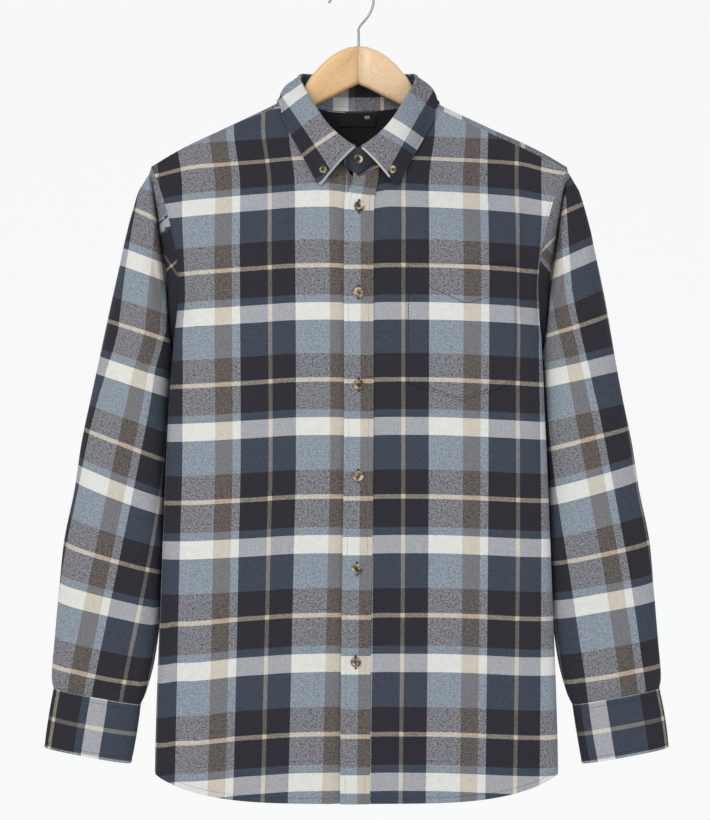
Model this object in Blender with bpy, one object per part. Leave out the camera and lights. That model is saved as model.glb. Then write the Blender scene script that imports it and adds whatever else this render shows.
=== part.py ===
# Flannel shirt with a button-down collar, hanging on a wooden hanger.
# Metres, +Z up. The front faces -Y and +X is the wearer's left.
# The origin is the top of the hook's inner side, where a rail carries it.
import bisect
import math

import bmesh
import bpy
from mathutils import Vector

# ---------------------------------------------------------------- driving sizes
GAP = 0.0003                # air left between two pieces at a seam
CLOTH = 0.0012              # wall of a single layer of flannel
COLLAR_CLOTH = 0.0015       # collar and stand, two layers with interlining
CUFF_CLOTH = 0.0020
LINING_CLOTH = 0.0010

GARMENT_X = 0.0044          # the shirt's centre line
COLLAR_X = 0.0060           # the collar has slipped a little to the wearer's left
HANGER_X = 0.0068           # the hanger's centre line

RIDGE_RADIUS = 0.011        # how sharply the cloth turns over the shoulders
RIDGE_FALL_FRONT = 0.170    # height below the ridge where the front has its full depth
RIDGE_FALL_BACK = 0.070
NECK_HALF_WIDTH = 0.080     # from the centre line to the shoulder seam's neck end
NECK_FRONT_HEIGHT = -0.232
NECK_SIDE_HEIGHT = -0.1375
NECK_BACK_HEIGHT = -0.148
SHOULDER_HALF_WIDTH = 0.2376
ARMPIT_HEIGHT = -0.424
SHOULDER_LEAN = 0.0028      # the shoulders hang this far to the wearer's left of the hem
SEAM_FORWARD_LEFT = 0.0085  # the shoulder seams lie this far in front of the ridge
SEAM_FORWARD_RIGHT = 0.0070
YOKE_BACK_HEIGHT = -0.240   # the yoke's lower seam at the centre of the back
YOKE_BACK_DROP = 0.022      # and how much lower it ends at the armholes
LABEL_TOP = -0.1525
LABEL_DROP = 0.0115

HEM_FRONT_HEIGHT = -0.937
HEM_BACK_HEIGHT = -0.941
HEM_SIDE_RISE = 0.030

PLACKET_WIDTH = 0.0330
UNDERLAP = 0.0280           # how far the button side runs under the placket
UNDERLAP_STEP = 0.0090      # width over which it steps back under the placket
UNDER_PLACKET = CLOTH + 2 * GAP

POCKET_CENTRE = 0.1170      # from the centre line
POCKET_WIDTH = 0.1220
POCKET_TOP = -0.3300
POCKET_SIDE_BOTTOM = -0.4610
POCKET_POINT = -0.4810

BUTTON_DIAMETER = 0.0115
BUTTON_THICKNESS = 0.0026
SMALL_BUTTON_DIAMETER = 0.0100
SMALL_BUTTON_THICKNESS = 0.0022
BUTTON_CLEAR = 0.0009       # thread between a button's foot and the cloth
COLLAR_BUTTON_DOWN = 0.74   # share of the way from the fold to the leaf's edge
BUTTON_HEIGHTS = (-0.2630, -0.3595, -0.4640, -0.5665, -0.6710, -0.7760)

HANGER_THICKNESS = 0.0130
HANGER_EDGE = 0.0040        # rounding of the wood's edges
HOOK_WIRE = 0.0030
HOOK_RADIUS = 0.0240        # to the middle of the wire
HOOK_HOLE = 0.0110          # how deep the wire sits in the wood

# Rows of the grids below and above the armpit. The fronts' last two turn over the shoulder.
FRONT_ROWS_BELOW = 11
FRONT_ROWS_ABOVE = 8
BACK_ROWS_BELOW = 11
BACK_ROWS_ABOVE = 5

# Half width of the shirt's body by height, which above the armpit is the armhole seam, and how
# far front and back stand from the middle plane.
BODY_COLUMNS = ("height", "half_width", "front", "back")
BODY_ROWS = (
    (-0.950, 0.2312, 0.034, 0.028),
    (-0.880, 0.2303, 0.036, 0.029),
    (-0.818, 0.2285, 0.038, 0.030),
    (-0.742, 0.2256, 0.040, 0.031),
    (-0.642, 0.2216, 0.043, 0.032),
    (-0.544, 0.2175, 0.046, 0.032),
    (-0.458, 0.2130, 0.049, 0.032),
    (-0.424, 0.2107, 0.051, 0.031),
    (-0.379, 0.2065, 0.053, 0.030),
    (-0.342, 0.2045, 0.055, 0.029),
    (-0.303, 0.2095, 0.058, 0.028),
    (-0.263, 0.2190, 0.061, 0.027),
    (-0.233, 0.2290, 0.064, 0.026),
    (-0.212, 0.2376, 0.066, 0.025),
    (-0.090, 0.2376, 0.066, 0.024),
)

# Height of the cloth's ridge over the shoulders by distance from the centre line.
RIDGE_COLUMNS = ("across", "height")
RIDGE_ROWS = (
    (-0.040, -0.1192),
    (0.000, -0.1144),
    (0.040, -0.1192),
    (0.080, -0.1345),
    (0.098, -0.1437),
    (0.127, -0.1575),
    (0.156, -0.1712),
    (0.187, -0.1852),
    (0.214, -0.1990),
    (0.238, -0.2135),
)

# The placket's middle by height: it hangs slightly askew.
PLACKET_COLUMNS = ("height", "middle")
PLACKET_ROWS = (
    (-0.940, -0.0020),
    (-0.880, -0.0018),
    (-0.743, -0.0006),
    (-0.543, 0.0022),
    (-0.274, 0.0027),
    (-0.220, 0.0060),
)

# The collar's fold line by angle from the centre front, in degrees.
FOLD_COLUMNS = ("angle", "height")
FOLD_ROWS = (
    (0.0, -0.2010),
    (8.0, -0.1965),
    (28.0, -0.1767),
    (57.0, -0.1380),
    (90.0, -0.1115),
    (130.0, -0.1065),
    (180.0, -0.1060),
)
FOLD_HALF_WIDTH = 0.0670
FOLD_FRONT = 0.0620         # how far the fold line reaches before and behind the middle plane
FOLD_BACK = 0.0210
LEAF_CLEAR = 0.0016         # air between the leaf's edge and what it lies on
LEAF_ROLL_FRONT = 0.0030    # how far the leaf bows out between fold and edge
LEAF_ROLL_BACK = 0.0055
LEAF_START = 2.6            # degrees between the centre front and the leaf's first end
LEAF_ON_STAND = COLLAR_CLOTH + 2 * GAP + 0.0004     # the leaf's outer side beyond the stand's
LEAF_LIES_UNDER = 0.006     # the leaf lies on the fronts up to this far above the neck seam

# The collar leaf's outer edge, from the tip of its point to the centre back.
LEAF_COLUMNS = ("share", "across", "height", "behind")
LEAF_ROWS = (
    (0.00, 0.0420, -0.2410, -1),
    (0.04, 0.0465, -0.2365, -1),
    (0.24, 0.0650, -0.2020, -1),
    (0.36, 0.0775, -0.1785, -1),
    (0.44, 0.0870, -0.1590, -1),
    (0.50, 0.0935, -0.1420, 0),
    (0.56, 0.0900, -0.1560, 1),
    (0.62, 0.0800, -0.1570, 1),
    (0.80, 0.0480, -0.1590, 1),
    (1.00, 0.0000, -0.1610, 1),
)

# The sleeve's sections below the armhole: the outer and the inner end of each, measured from the
# shirt's centre line, and its depth to the front and to the back.
SLEEVE_COLUMNS = ("outer", "outer_height", "inner", "inner_height", "front", "back")
SLEEVE_ROWS = (
    (0.2526, -0.2400, 0.2130, -0.4320, 0.027, 0.025),
    (0.2620, -0.2720, 0.2138, -0.4370, 0.032, 0.030),
    (0.2718, -0.3150, 0.2148, -0.4430, 0.035, 0.033),
    (0.2835, -0.3680, 0.2158, -0.4520, 0.036, 0.034),
    (0.2940, -0.4220, 0.2168, -0.4680, 0.034, 0.033),
    (0.3042, -0.4740, 0.2183, -0.4990, 0.032, 0.031),
    (0.3157, -0.5290, 0.2205, -0.5530, 0.030, 0.030),
    (0.3243, -0.5840, 0.2228, -0.6080, 0.029, 0.029),
    (0.3362, -0.6420, 0.2252, -0.6660, 0.028, 0.028),
    (0.3422, -0.7030, 0.2276, -0.7260, 0.026, 0.027),
    (0.3470, -0.7570, 0.2315, -0.7800, 0.023, 0.024),
    (0.3502, -0.7960, 0.2372, -0.8160, 0.019, 0.020),
)
SLEEVE_BACK_SHIFT = 0.004   # the sleeve hangs slightly behind the body's middle plane
SLEEVE_ROUNDNESS = 2.4
RIDGE_INDEX = FRONT_ROWS_ABOVE + 1      # which point of a sleeve's ring comes from the ridge
SLIT_COLUMN = 3             # the slit's strip lies between this point behind the ridge and the next
SLIT_CLEAR = 0.0016

# The valley in the sleeve beside the armhole seam.
VALLEY_OUT = 0.0150         # how far out of the seam its bottom lies halfway up the armhole
VALLEY_LEAST = 0.0046       # and at the armpit and on the shoulder
VALLEY_IN = 0.62            # share of the depth by which it dips
VALLEY_FALL_LOW = 0.0035    # how much lower it lies than the seam
VALLEY_FALL_HIGH = 0.0065
SLEEVE_SEAM_GAP = 1.4 * GAP

CUFF_TOP_OUTER = (0.3484, -0.8125)
CUFF_TOP_INNER = (0.2480, -0.8310)
CUFF_BOTTOM_OUTER = (0.3590, -0.8794)
CUFF_BOTTOM_INNER = (0.2590, -0.8980)
CUFF_HALF_DEPTH = 0.0130
CUFF_LAP = 26.0             # degrees that the cuff's ends overlap
CUFF_RISE_START = 345.0     # where the band starts to step out over its own start
CUFF_RISE = 12.0
CUFF_LAP_START = 55.0       # where the lap lies, degrees from the outer edge round the back

# The hanger's outline by distance from its centre line.
HANGER_COLUMNS = ("across", "top", "bottom")
HANGER_ROWS = (
    (0.0002, -0.0750, -0.1183),
    (0.0100, -0.0763, -0.1228),
    (0.0212, -0.0804, -0.1286),
    (0.0327, -0.0873, -0.1345),
    (0.0442, -0.0976, -0.1404),
    (0.0557, -0.1114, -0.1463),
    (0.0637, -0.1240, -0.1504),
    (0.0712, -0.1382, -0.1542),
    (0.0800, -0.1441, -0.1587),
    (0.0920, -0.1480, -0.1648),
    (0.1300, -0.1640, -0.1840),
    (0.1700, -0.1830, -0.2030),
    (0.1950, -0.1945, -0.2120),
    (0.2060, -0.2020, -0.2130),
    (0.2100, -0.2070, -0.2115),
)

FLANNEL_DARK = (0.045, 0.055, 0.075, 1.0)
FLANNEL_LIGHT = (0.33, 0.38, 0.43, 1.0)
FLANNEL_MIXED = (0.17, 0.19, 0.23, 1.0)
LINING_BLACK = (0.012, 0.012, 0.013, 1.0)
HORN_BROWN = (0.17, 0.13, 0.09, 1.0)
BEECH = (0.72, 0.50, 0.27, 1.0)
STEEL = (0.55, 0.55, 0.55, 1.0)

for old in list(bpy.data.objects):
    bpy.data.objects.remove(old, do_unlink=True)


# ---------------------------------------------------------------- tables and materials
def look_up(columns, rows, name, at):
    """Value of a column on a smooth curve through the table's rows, whose first column is the key."""
    place = columns.index(name)
    keys = [row[0] for row in rows]
    values = [row[place] for row in rows]
    if at <= keys[0]:
        return values[0]
    if at >= keys[-1]:
        return values[-1]
    k = bisect.bisect_right(keys, at) - 1
    step = keys[k + 1] - keys[k]
    rise = values[k + 1] - values[k]

    def slope(i):
        if i == 0 or i == len(keys) - 1:
            return rise / step
        return (values[i + 1] - values[i - 1]) / (keys[i + 1] - keys[i - 1])

    t = (at - keys[k]) / step
    start = slope(k) * step
    end = slope(k + 1) * step
    return (values[k] + start * t + (3 * rise - 2 * start - end) * t ** 2
            + (start + end - 2 * rise) * t ** 3)


def ease(share):
    """Smooth step from 0 to 1."""
    share = min(max(share, 0.0), 1.0)
    return share * share * (3 - 2 * share)


def mix(a, b, share):
    return a + (b - a) * share


def material(name, colour, roughness, metallic=0.0):
    made = bpy.data.materials.get(name)
    if made:
        return made
    made = bpy.data.materials.new(name)
    made.use_nodes = True
    shader = made.node_tree.nodes["Principled BSDF"]
    shader.inputs["Base Color"].default_value = colour
    shader.inputs["Roughness"].default_value = roughness
    shader.inputs["Metallic"].default_value = metallic
    return made


# ---------------------------------------------------------------- sheets with a wall
def sheet(points):
    """A grid of points, rows of columns, on the outer side of the cloth, with its outward normals."""
    last_row = len(points) - 1
    last_column = len(points[0]) - 1
    normals = []
    for j in range(last_row + 1):
        line = []
        for i in range(last_column + 1):
            along = points[j][min(i + 1, last_column)] - points[j][max(i - 1, 0)]
            up = points[min(j + 1, last_row)][i] - points[max(j - 1, 0)][i]
            line.append(along.cross(up).normalized())
        normals.append(line)
    return {"points": points, "normals": normals}


def share_normals(first, first_cells, second, second_cells):
    """Give two sheets one direction for their wall along a common seam, so that it is mitred."""
    for (j, i), (n, m) in zip(first_cells, second_cells):
        common = (first["normals"][j][i] + second["normals"][n][m]).normalized()
        first["normals"][j][i] = common
        second["normals"][n][m] = common


def build_wall(name, cloth, thickness, finish, ring=False):
    """Closed solid between the sheet and a second skin inside it. A ring has no side edges."""
    points = cloth["points"]
    normals = cloth["normals"]
    rows = len(points)
    columns = len(points[0])
    mesh = bmesh.new()
    outer = [[mesh.verts.new(p) for p in line] for line in points]
    inner = [[mesh.verts.new(p - n * thickness) for p, n in zip(line, turns)]
             for line, turns in zip(points, normals)]
    spans = columns if ring else columns - 1
    for j in range(rows - 1):
        for i in range(spans):
            k = (i + 1) % columns
            mesh.faces.new((outer[j][i], outer[j][k], outer[j + 1][k], outer[j + 1][i]))
            mesh.faces.new((inner[j][i], inner[j + 1][i], inner[j + 1][k], inner[j][k]))
    for i in range(spans):
        k = (i + 1) % columns
        mesh.faces.new((outer[0][k], outer[0][i], inner[0][i], inner[0][k]))
        mesh.faces.new((outer[-1][i], outer[-1][k], inner[-1][k], inner[-1][i]))
    if not ring:
        for j in range(rows - 1):
            mesh.faces.new((outer[j][0], outer[j + 1][0], inner[j + 1][0], inner[j][0]))
            mesh.faces.new((outer[j + 1][-1], outer[j][-1], inner[j][-1], inner[j + 1][-1]))
    return place(name, mesh, finish)


def place(name, mesh, finish):
    """Turn a bmesh into the named object with its material."""
    data = bpy.data.meshes.new(name)
    mesh.to_mesh(data)
    mesh.free()
    data.materials.append(finish)
    data.shade_smooth()
    data.set_sharp_from_angle(angle=math.radians(40))
    made = bpy.data.objects.new(name, data)
    bpy.context.scene.collection.objects.link(made)
    return made


def mirrored(side, line):
    """Columns run from the centre outwards. On the wearer's right they are turned round, so that
    the faces still point out."""
    return line if side > 0 else line[::-1]


# ---------------------------------------------------------------- the body's surface
def ridge_height(across):
    return look_up(RIDGE_COLUMNS, RIDGE_ROWS, "height", abs(across))


def half_width(height):
    return look_up(BODY_COLUMNS, BODY_ROWS, "half_width", height)


def above_armpit(height):
    """0 on the body's tube, 1 well above the armpit, where the side is open to the sleeve."""
    return ease((height - ARMPIT_HEIGHT) / 0.060)


def armhole_depth(height):
    """How far the armhole's edge stands from the middle plane, in front and behind."""
    share = (height - ARMPIT_HEIGHT) / (-0.2165 - ARMPIT_HEIGHT)
    share = min(max(share, 0.0), 1.0)
    return 0.019 * math.sin(math.pi * share) ** 0.8 + 0.0075 * share


def surface_depth(across, height, column, fall, width):
    """Distance of the front or the back from the middle plane."""
    full = look_up(BODY_COLUMNS, BODY_ROWS, column, height)
    below = max(ridge_height(across) - height, 0.0)
    turn = 1.0 - min(below / RIDGE_RADIUS, 1.0)
    depth = RIDGE_RADIUS * math.sqrt(1.0 - turn * turn)
    depth += (full - RIDGE_RADIUS) * (1.0 - math.cos(math.pi * min(below / fall, 1.0))) / 2
    share = min(abs(across) / (width or half_width(height)), 1.0)
    edge = min(armhole_depth(height), depth)
    bluntness = mix(4.0, 1.5, above_armpit(height))
    return edge + (depth - edge) * (1.0 - share ** 4) ** (1.0 / bluntness)


def lean(height):
    """How far the armholes and sleeves stand to the wearer's left at a height."""
    return SHOULDER_LEAN * ease((height + 0.52) / 0.20)


def level_place(across, height):
    return GARMENT_X + across + lean(height) * (across / SHOULDER_HALF_WIDTH) ** 2


def front_point(across, height, out=0.0, width=None):
    depth = surface_depth(across, height, "front", RIDGE_FALL_FRONT, width)
    return Vector((level_place(across, height), -depth - out, height))


def back_point(across, height, out=0.0, width=None):
    depth = surface_depth(across, height, "back", RIDGE_FALL_BACK, width)
    return Vector((level_place(across, height), depth + out, height))


def over_ridge(across, run):
    """Point on the shoulders, a run of cloth in front of the ridge, or behind it if negative."""
    reach = abs(run)
    turn = reach / RIDGE_RADIUS
    if turn < math.pi / 2:
        height = ridge_height(across) - RIDGE_RADIUS * (1.0 - math.cos(turn))
    else:
        height = ridge_height(across) - RIDGE_RADIUS - (reach - RIDGE_RADIUS * math.pi / 2)
    return front_point(across, height) if run > 0 else back_point(across, height)


def run_to(across, height):
    """The run of cloth from the ridge down to a height."""
    below = ridge_height(across) - height
    if below < RIDGE_RADIUS:
        return RIDGE_RADIUS * math.acos(1.0 - below / RIDGE_RADIUS)
    return below + RIDGE_RADIUS * (math.pi / 2 - 1.0)


def seam_forward(across):
    """The wearer's right shoulder seam creeps back to the ridge towards the sleeve."""
    if across > 0:
        return SEAM_FORWARD_LEFT
    outward = ease((abs(across) - NECK_HALF_WIDTH) / 0.080)
    return mix(SEAM_FORWARD_RIGHT, 0.0022, outward)


def neckline(across):
    """Height of the front neckline."""
    share = min(abs(across) / NECK_HALF_WIDTH, 1.0)
    bottom = 1.0 - math.sqrt(1.0 - share * share)
    return mix(NECK_FRONT_HEIGHT, NECK_SIDE_HEIGHT, bottom)


def back_neckline(across):
    share = min(abs(across) / NECK_HALF_WIDTH, 1.0)
    return mix(NECK_BACK_HEIGHT, NECK_SIDE_HEIGHT - 0.002, share ** 2)


def placket_middle(height):
    return look_up(PLACKET_COLUMNS, PLACKET_ROWS, "middle", height)


def hem(across_share, middle_height):
    return middle_height + HEM_SIDE_RISE * abs(across_share) ** 4


# Shares of the half width at which the body's columns stand. The first list crowds them where the
# body turns round its side, and the second spreads them where the armhole is open.
SIDE_TURN = (0.70, 0.80, 0.87, 0.93, 0.97, 0.9935, 0.9996, 1.0)
ARMHOLE_TURN = (0.56, 0.68, 0.79, 0.87, 0.93, 0.965, 0.987, 1.0)
NECK_COLUMNS = (0.022, 0.044, 0.062, 0.0755, NECK_HALF_WIDTH)
SHOULDER_COLUMNS = (0.103,)
FRONT_COLUMNS = NECK_COLUMNS[1:] + SHOULDER_COLUMNS
SEAM_COLUMNS = 1 + len(SHOULDER_COLUMNS) + len(ARMHOLE_TURN)    # those along a shoulder seam
ROLL_RUN = RIDGE_RADIUS * math.pi / 2 + 0.0002


def outer_shares(height):
    open_share = above_armpit(height)
    return [mix(a, b, open_share) for a, b in zip(SIDE_TURN, ARMHOLE_TURN)]


def column_places(height, width, inner):
    """Distances from the centre line of one row's columns, from its inner edge to the side."""
    return inner + list(FRONT_COLUMNS) + [width * share for share in outer_shares(height)]


def front_grid(side, inner_of):
    """Grid of a front, from its inner edge out to the side seam and armhole."""
    side_hem = hem(1.0, HEM_FRONT_HEIGHT)
    side_top = over_ridge(side * SHOULDER_HALF_WIDTH, ROLL_RUN).z
    top_places = column_places(side_top, SHOULDER_HALF_WIDTH, inner_of(NECK_FRONT_HEIGHT))
    armpit = (ARMPIT_HEIGHT - side_hem) / (side_top - side_hem)
    rows_above = FRONT_ROWS_ABOVE - 2
    shares = [armpit * j / FRONT_ROWS_BELOW for j in range(FRONT_ROWS_BELOW)]
    shares += [mix(armpit, 1.0, j / rows_above) for j in range(rows_above + 1)] + [1.0, 1.0]
    grid = []
    for j, share in enumerate(shares):
        turned = max(j - (len(shares) - 3), 0) / 2
        edge_height = mix(side_hem, side_top, share)
        width = mix(half_width(edge_height), SHOULDER_HALF_WIDTH, turned)
        inner = inner_of(mix(HEM_FRONT_HEIGHT, NECK_FRONT_HEIGHT, share))
        places = column_places(edge_height, width, inner)
        line = []
        for across, top_across in zip(places, top_places):
            if top_across < NECK_HALF_WIDTH - 0.0001:
                top = neckline(top_across) - 0.0080 * (1.0 - turned)
            else:
                run = mix(ROLL_RUN, seam_forward(side * top_across), turned)
                top = over_ridge(top_across, run).z
            height = mix(hem(across / width, HEM_FRONT_HEIGHT), top, share)
            line.append(front_point(side * across, height, width=width))
        line[-1].y -= GAP / 2
        line[-1].x -= side * GAP / 2
        grid.append(mirrored(side, line))
    return grid


# ---------------------------------------------------------------- fronts, placket and pocket
def left_inner(height):
    """The left front's columns under the placket."""
    middle = placket_middle(height)
    return [middle + PLACKET_WIDTH * share for share in (-0.49, 0.0, 0.5)]


def right_inner(height):
    """The right front's inner columns, mirrored: its edge under the placket and the small step."""
    step_end = -placket_middle(height) + PLACKET_WIDTH / 2 + 0.003
    return [step_end - UNDERLAP, step_end, step_end + UNDERLAP_STEP]


def make_fronts():
    left = sheet(front_grid(1, left_inner))
    points = front_grid(-1, right_inner)
    for line in points:
        line[-1].y += UNDER_PLACKET
        line[-2].y += UNDER_PLACKET
    return left, sheet(points)


def make_placket(left, finish):
    """A strip moved out from the left front, which carries it."""
    grid = []
    for line, turns in zip(left["points"], left["normals"]):
        edge = line[0] + turns[0] * (GAP + CLOTH)
        middle = line[1] + turns[1] * (GAP + CLOTH)
        far = line[2] + turns[2] * (GAP + CLOTH)
        grid.append([edge, middle, far])
    for point in grid[-1]:
        point.z -= 0.0008
    return build_wall("placket", sheet(grid), CLOTH, finish)


def make_pocket(finish):
    columns = 12
    rows = 6
    grid = []
    for j in range(rows + 1):
        line = []
        for i in range(columns + 1):
            share = i / columns
            across = POCKET_CENTRE + (share - 0.5) * POCKET_WIDTH
            low = mix(POCKET_SIDE_BOTTOM, POCKET_POINT, 1.0 - abs(2 * share - 1.0))
            line.append(front_point(across, mix(low, POCKET_TOP, j / rows)))
        grid.append(line)
    lying = sheet(grid)
    raised = [[point + normal * (3 * GAP + CLOTH) for point, normal in zip(line, turns)]
              for line, turns in zip(lying["points"], lying["normals"])]
    return build_wall("pocket", sheet(raised), CLOTH, finish)


# ---------------------------------------------------------------- back and yoke
def yoke_seam(across):
    return YOKE_BACK_HEIGHT - YOKE_BACK_DROP * (across / SHOULDER_HALF_WIDTH) ** 2


def back_grid(yoke):
    """Grid of the back, whose top row is the yoke's lower seam, a gap further down."""
    side_hem = hem(1.0, HEM_BACK_HEIGHT)
    top_row = [point - Vector((0, 0, GAP)) for point in yoke["points"][0]]
    side_top = top_row[0].z
    armpit = (ARMPIT_HEIGHT - side_hem) / (side_top - side_hem)
    shares = [armpit * j / BACK_ROWS_BELOW for j in range(BACK_ROWS_BELOW)]
    shares += [mix(armpit, 1.0, j / BACK_ROWS_ABOVE) for j in range(BACK_ROWS_ABOVE)]
    grid = []
    for share in shares:
        edge_height = mix(side_hem, side_top, share)
        width = half_width(edge_height)
        inner = NECK_COLUMNS + SHOULDER_COLUMNS
        half = list(inner) + [width * x for x in outer_shares(edge_height)]
        line = []
        for across in half[::-1] + [0.0] + [-x for x in half]:
            low = hem(across / width, HEM_BACK_HEIGHT)
            height = mix(low, yoke_seam(across) - GAP, share)
            line.append(back_point(across, height, width=width))
        for end, side in ((0, 1), (-1, -1)):
            line[end].y += GAP / 2
            line[end].x -= side * GAP / 2
        grid.append(line)
    grid.append(top_row)
    return grid


YOKE_TURN_ROWS = 3          # from the shoulder seam to the end of the turn behind
YOKE_ROWS_BELOW = 4
YOKE_NECK_STRIP = 0.0040    # in the neck the same rows lie in this narrow strip


def yoke_grid():
    """Columns run from the wearer's left to the right, rows from the lower seam up to the neck
    and over the ridge to the shoulder seams."""
    half = list(NECK_COLUMNS + SHOULDER_COLUMNS) + [x * SHOULDER_HALF_WIDTH for x in ARMHOLE_TURN]
    across_list = half[::-1] + [0.0] + [-x for x in half]
    grid = [[] for _ in range(YOKE_TURN_ROWS + YOKE_ROWS_BELOW + 1)]
    for across in across_list:
        bottom = -run_to(across, yoke_seam(across))
        if abs(across) < NECK_HALF_WIDTH - 0.0001:
            top = -run_to(across, back_neckline(across))
            turned = top - YOKE_NECK_STRIP
        else:
            top = seam_forward(across) - GAP
            turned = -ROLL_RUN
        runs = [mix(bottom, turned, j / YOKE_ROWS_BELOW) for j in range(YOKE_ROWS_BELOW)]
        runs += [mix(turned, top, j / YOKE_TURN_ROWS) for j in range(YOKE_TURN_ROWS + 1)]
        for j, run in enumerate(runs):
            point = over_ridge(across, run)
            if run < 0:
                narrow = 1.0 - half_width(point.z) / SHOULDER_HALF_WIDTH
                inward = across * (1.0 - narrow * (across / SHOULDER_HALF_WIDTH) ** 2)
                point = back_point(inward, point.z)
            if abs(across) > SHOULDER_HALF_WIDTH - 0.0001:
                point.x -= math.copysign(GAP / 2, across)
            grid[j].append(point)
    return grid


LINING_REACH = 0.170        # the inner yoke stops short of the armholes


def make_lining(yoke, finish):
    """Inner yoke, moved in from the outer one, from its lower seam up to the neck seam."""
    inside = CLOTH + 2 * GAP
    grid = []
    for j in range(YOKE_ROWS_BELOW + 1):
        line = []
        for point, normal in zip(yoke["points"][j], yoke["normals"][j]):
            if abs(point.x - GARMENT_X) < LINING_REACH:
                line.append(point - normal * inside)
        grid.append(line)
    for point in grid[0]:
        point.z += 0.002
    return build_wall("yoke_lining", sheet(grid), LINING_CLOTH, finish)


def make_label(finish):
    """Bare tab sewn to the inner yoke just below the neck seam."""
    grid = []
    for height in (LABEL_TOP - LABEL_DROP, LABEL_TOP):
        line = []
        for across in (0.022, 0.0, -0.022):
            line.append(back_point(across, height, out=-(CLOTH + LINING_CLOTH + 4 * GAP + 0.0006)))
        grid.append(line)
    return build_wall("neck_label", sheet(grid), LINING_CLOTH, finish)


# ---------------------------------------------------------------- collar
def fold_point(angle):
    """Point on the collar's fold line, by angle from the centre front towards the wearer's left."""
    turn = math.radians(angle)
    height = look_up(FOLD_COLUMNS, FOLD_ROWS, "height", min(angle % 360, 360 - angle % 360))
    reach = FOLD_FRONT if math.cos(turn) > 0 else FOLD_BACK
    return Vector((COLLAR_X + FOLD_HALF_WIDTH * math.sin(turn), -reach * math.cos(turn), height))


def angle_of(point):
    """The fold line's angle above a point of the neck seam."""
    across = (point.x - GARMENT_X) / NECK_HALF_WIDTH
    depth = -point.y / (FOLD_FRONT if point.y < 0 else FOLD_BACK)
    return math.degrees(math.atan2(across, depth)) % 360


def outward_at(angle):
    """Level direction away from the neck."""
    turn = math.radians(angle)
    reach = FOLD_FRONT if math.cos(turn) > 0 else FOLD_BACK
    return Vector((math.sin(turn) / FOLD_HALF_WIDTH, -math.cos(turn) / reach, 0.0)).normalized()


STAND_LAP = 0.0150          # how far the stand's ends pass the centre front
LAP_STEP = COLLAR_CLOTH + 2 * GAP
STAND_LIFT = 0.0010         # the stand's lower edge lies this far above the neck seam's edges
STAND_LOWER_END = -0.0165   # where the lower end's first column lies, across
STAND_END_DROP = 0.006      # how much lower the stand's two ends are than its fold
STAND_FRONT_SPREAD = 40.0   # degrees either side of the front in which it lies on the fronts


def make_stand(left, right, yoke, finish):
    """The stand goes from its upper end, at the wearer's right of the placket, round the wearer's
    left and the back to its lower end, which lies inside the upper one."""
    base = [(front_point(-STAND_LAP, neckline(STAND_LAP)), 0.0),
            (front_point(0.0, neckline(0.0)), 0.0)]
    for point in left["points"][-1][2:]:
        if point.x - GARMENT_X < NECK_HALF_WIDTH + 0.001:
            base.append((point.copy(), 0.0))
    for point in yoke["points"][-1]:
        if abs(point.x - GARMENT_X) < NECK_HALF_WIDTH - 0.001:
            base.append((point.copy(), 0.0))
    for point in right["points"][-1][:-2]:
        if point.x - GARMENT_X > -NECK_HALF_WIDTH - 0.001:
            base.append((point.copy(), 0.0))
    for across in (STAND_LOWER_END, 0.0, STAND_LAP):
        base.append((front_point(across, neckline(across)), LAP_STEP))
    rows = 3
    grid = [[] for _ in range(rows + 1)]
    for n, (foot, inset) in enumerate(base):
        angle = angle_of(foot)
        head = fold_point(angle)
        outward = outward_at(angle)
        near_front = ease(1.0 - min(angle, 360 - angle) / STAND_FRONT_SPREAD)
        foot = foot + Vector((0, 0, STAND_LIFT)) + outward * (near_front * (CLOTH + GAP) - inset)
        head = head - outward * inset
        if n in (0, len(base) - 1):
            head = head - Vector((0, 0, STAND_END_DROP))
        for j in range(rows + 1):
            grid[j].append(foot.lerp(head, j / rows))
    return build_wall("collar_stand", sheet(grid), COLLAR_CLOTH, finish)


def leaf_edge(share):
    """Point on the leaf's outer edge, a wall's thickness above what it lies on."""
    mirrored_share = share if share <= 1.0 else 2.0 - share
    side = 1 if share <= 1.0 else -1
    across = side * look_up(LEAF_COLUMNS, LEAF_ROWS, "across", mirrored_share)
    height = look_up(LEAF_COLUMNS, LEAF_ROWS, "height", mirrored_share)
    behind = look_up(LEAF_COLUMNS, LEAF_ROWS, "behind", mirrored_share)
    across += COLLAR_X - GARMENT_X
    clear = COLLAR_CLOTH + LEAF_CLEAR
    if behind < -0.99:
        return front_point(across, height, out=clear)
    if behind > 0.99:
        return back_point(across, height, out=clear)
    point = over_ridge(across, -behind * ROLL_RUN)
    lean = math.pi / 2 * behind
    return point + Vector((0, math.sin(lean), math.cos(lean))) * clear


def leaf_point(share, down):
    """Point on the leaf: share runs from the wearer's left tip round the back to the right tip as
    0 to 2, and down from the fold, 0, to the outer edge, 1."""
    angle = mix(LEAF_START, 360.0 - LEAF_START, share / 2)
    outward = outward_at(angle)
    top = fold_point(angle) + outward * LEAF_ON_STAND
    point = top.lerp(leaf_edge(share), down)
    front_share = ease((abs(share - 1.0) - 0.35) / 0.25)
    bow = mix(LEAF_ROLL_BACK, LEAF_ROLL_FRONT, front_share)
    roll = bow * math.sin(math.pi * min(down * 1.1, 1.0))
    point += outward * roll + Vector((0, 0, roll / 2))
    across = point.x - GARMENT_X
    near_neck = abs(across) < NECK_HALF_WIDTH + 0.008
    if point.y < 0 and near_neck and point.z < neckline(across) + LEAF_LIES_UNDER:
        limit = front_point(across, point.z).y - COLLAR_CLOTH - LEAF_CLEAR
        point.y = min(point.y, limit)
    return point


LEAF_SHARES = (0.0, 0.04, 0.12, 0.20, 0.28, 0.36, 0.40, 0.44, 0.47, 0.50,
               0.53, 0.56, 0.61, 0.70, 0.80, 0.90)


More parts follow.
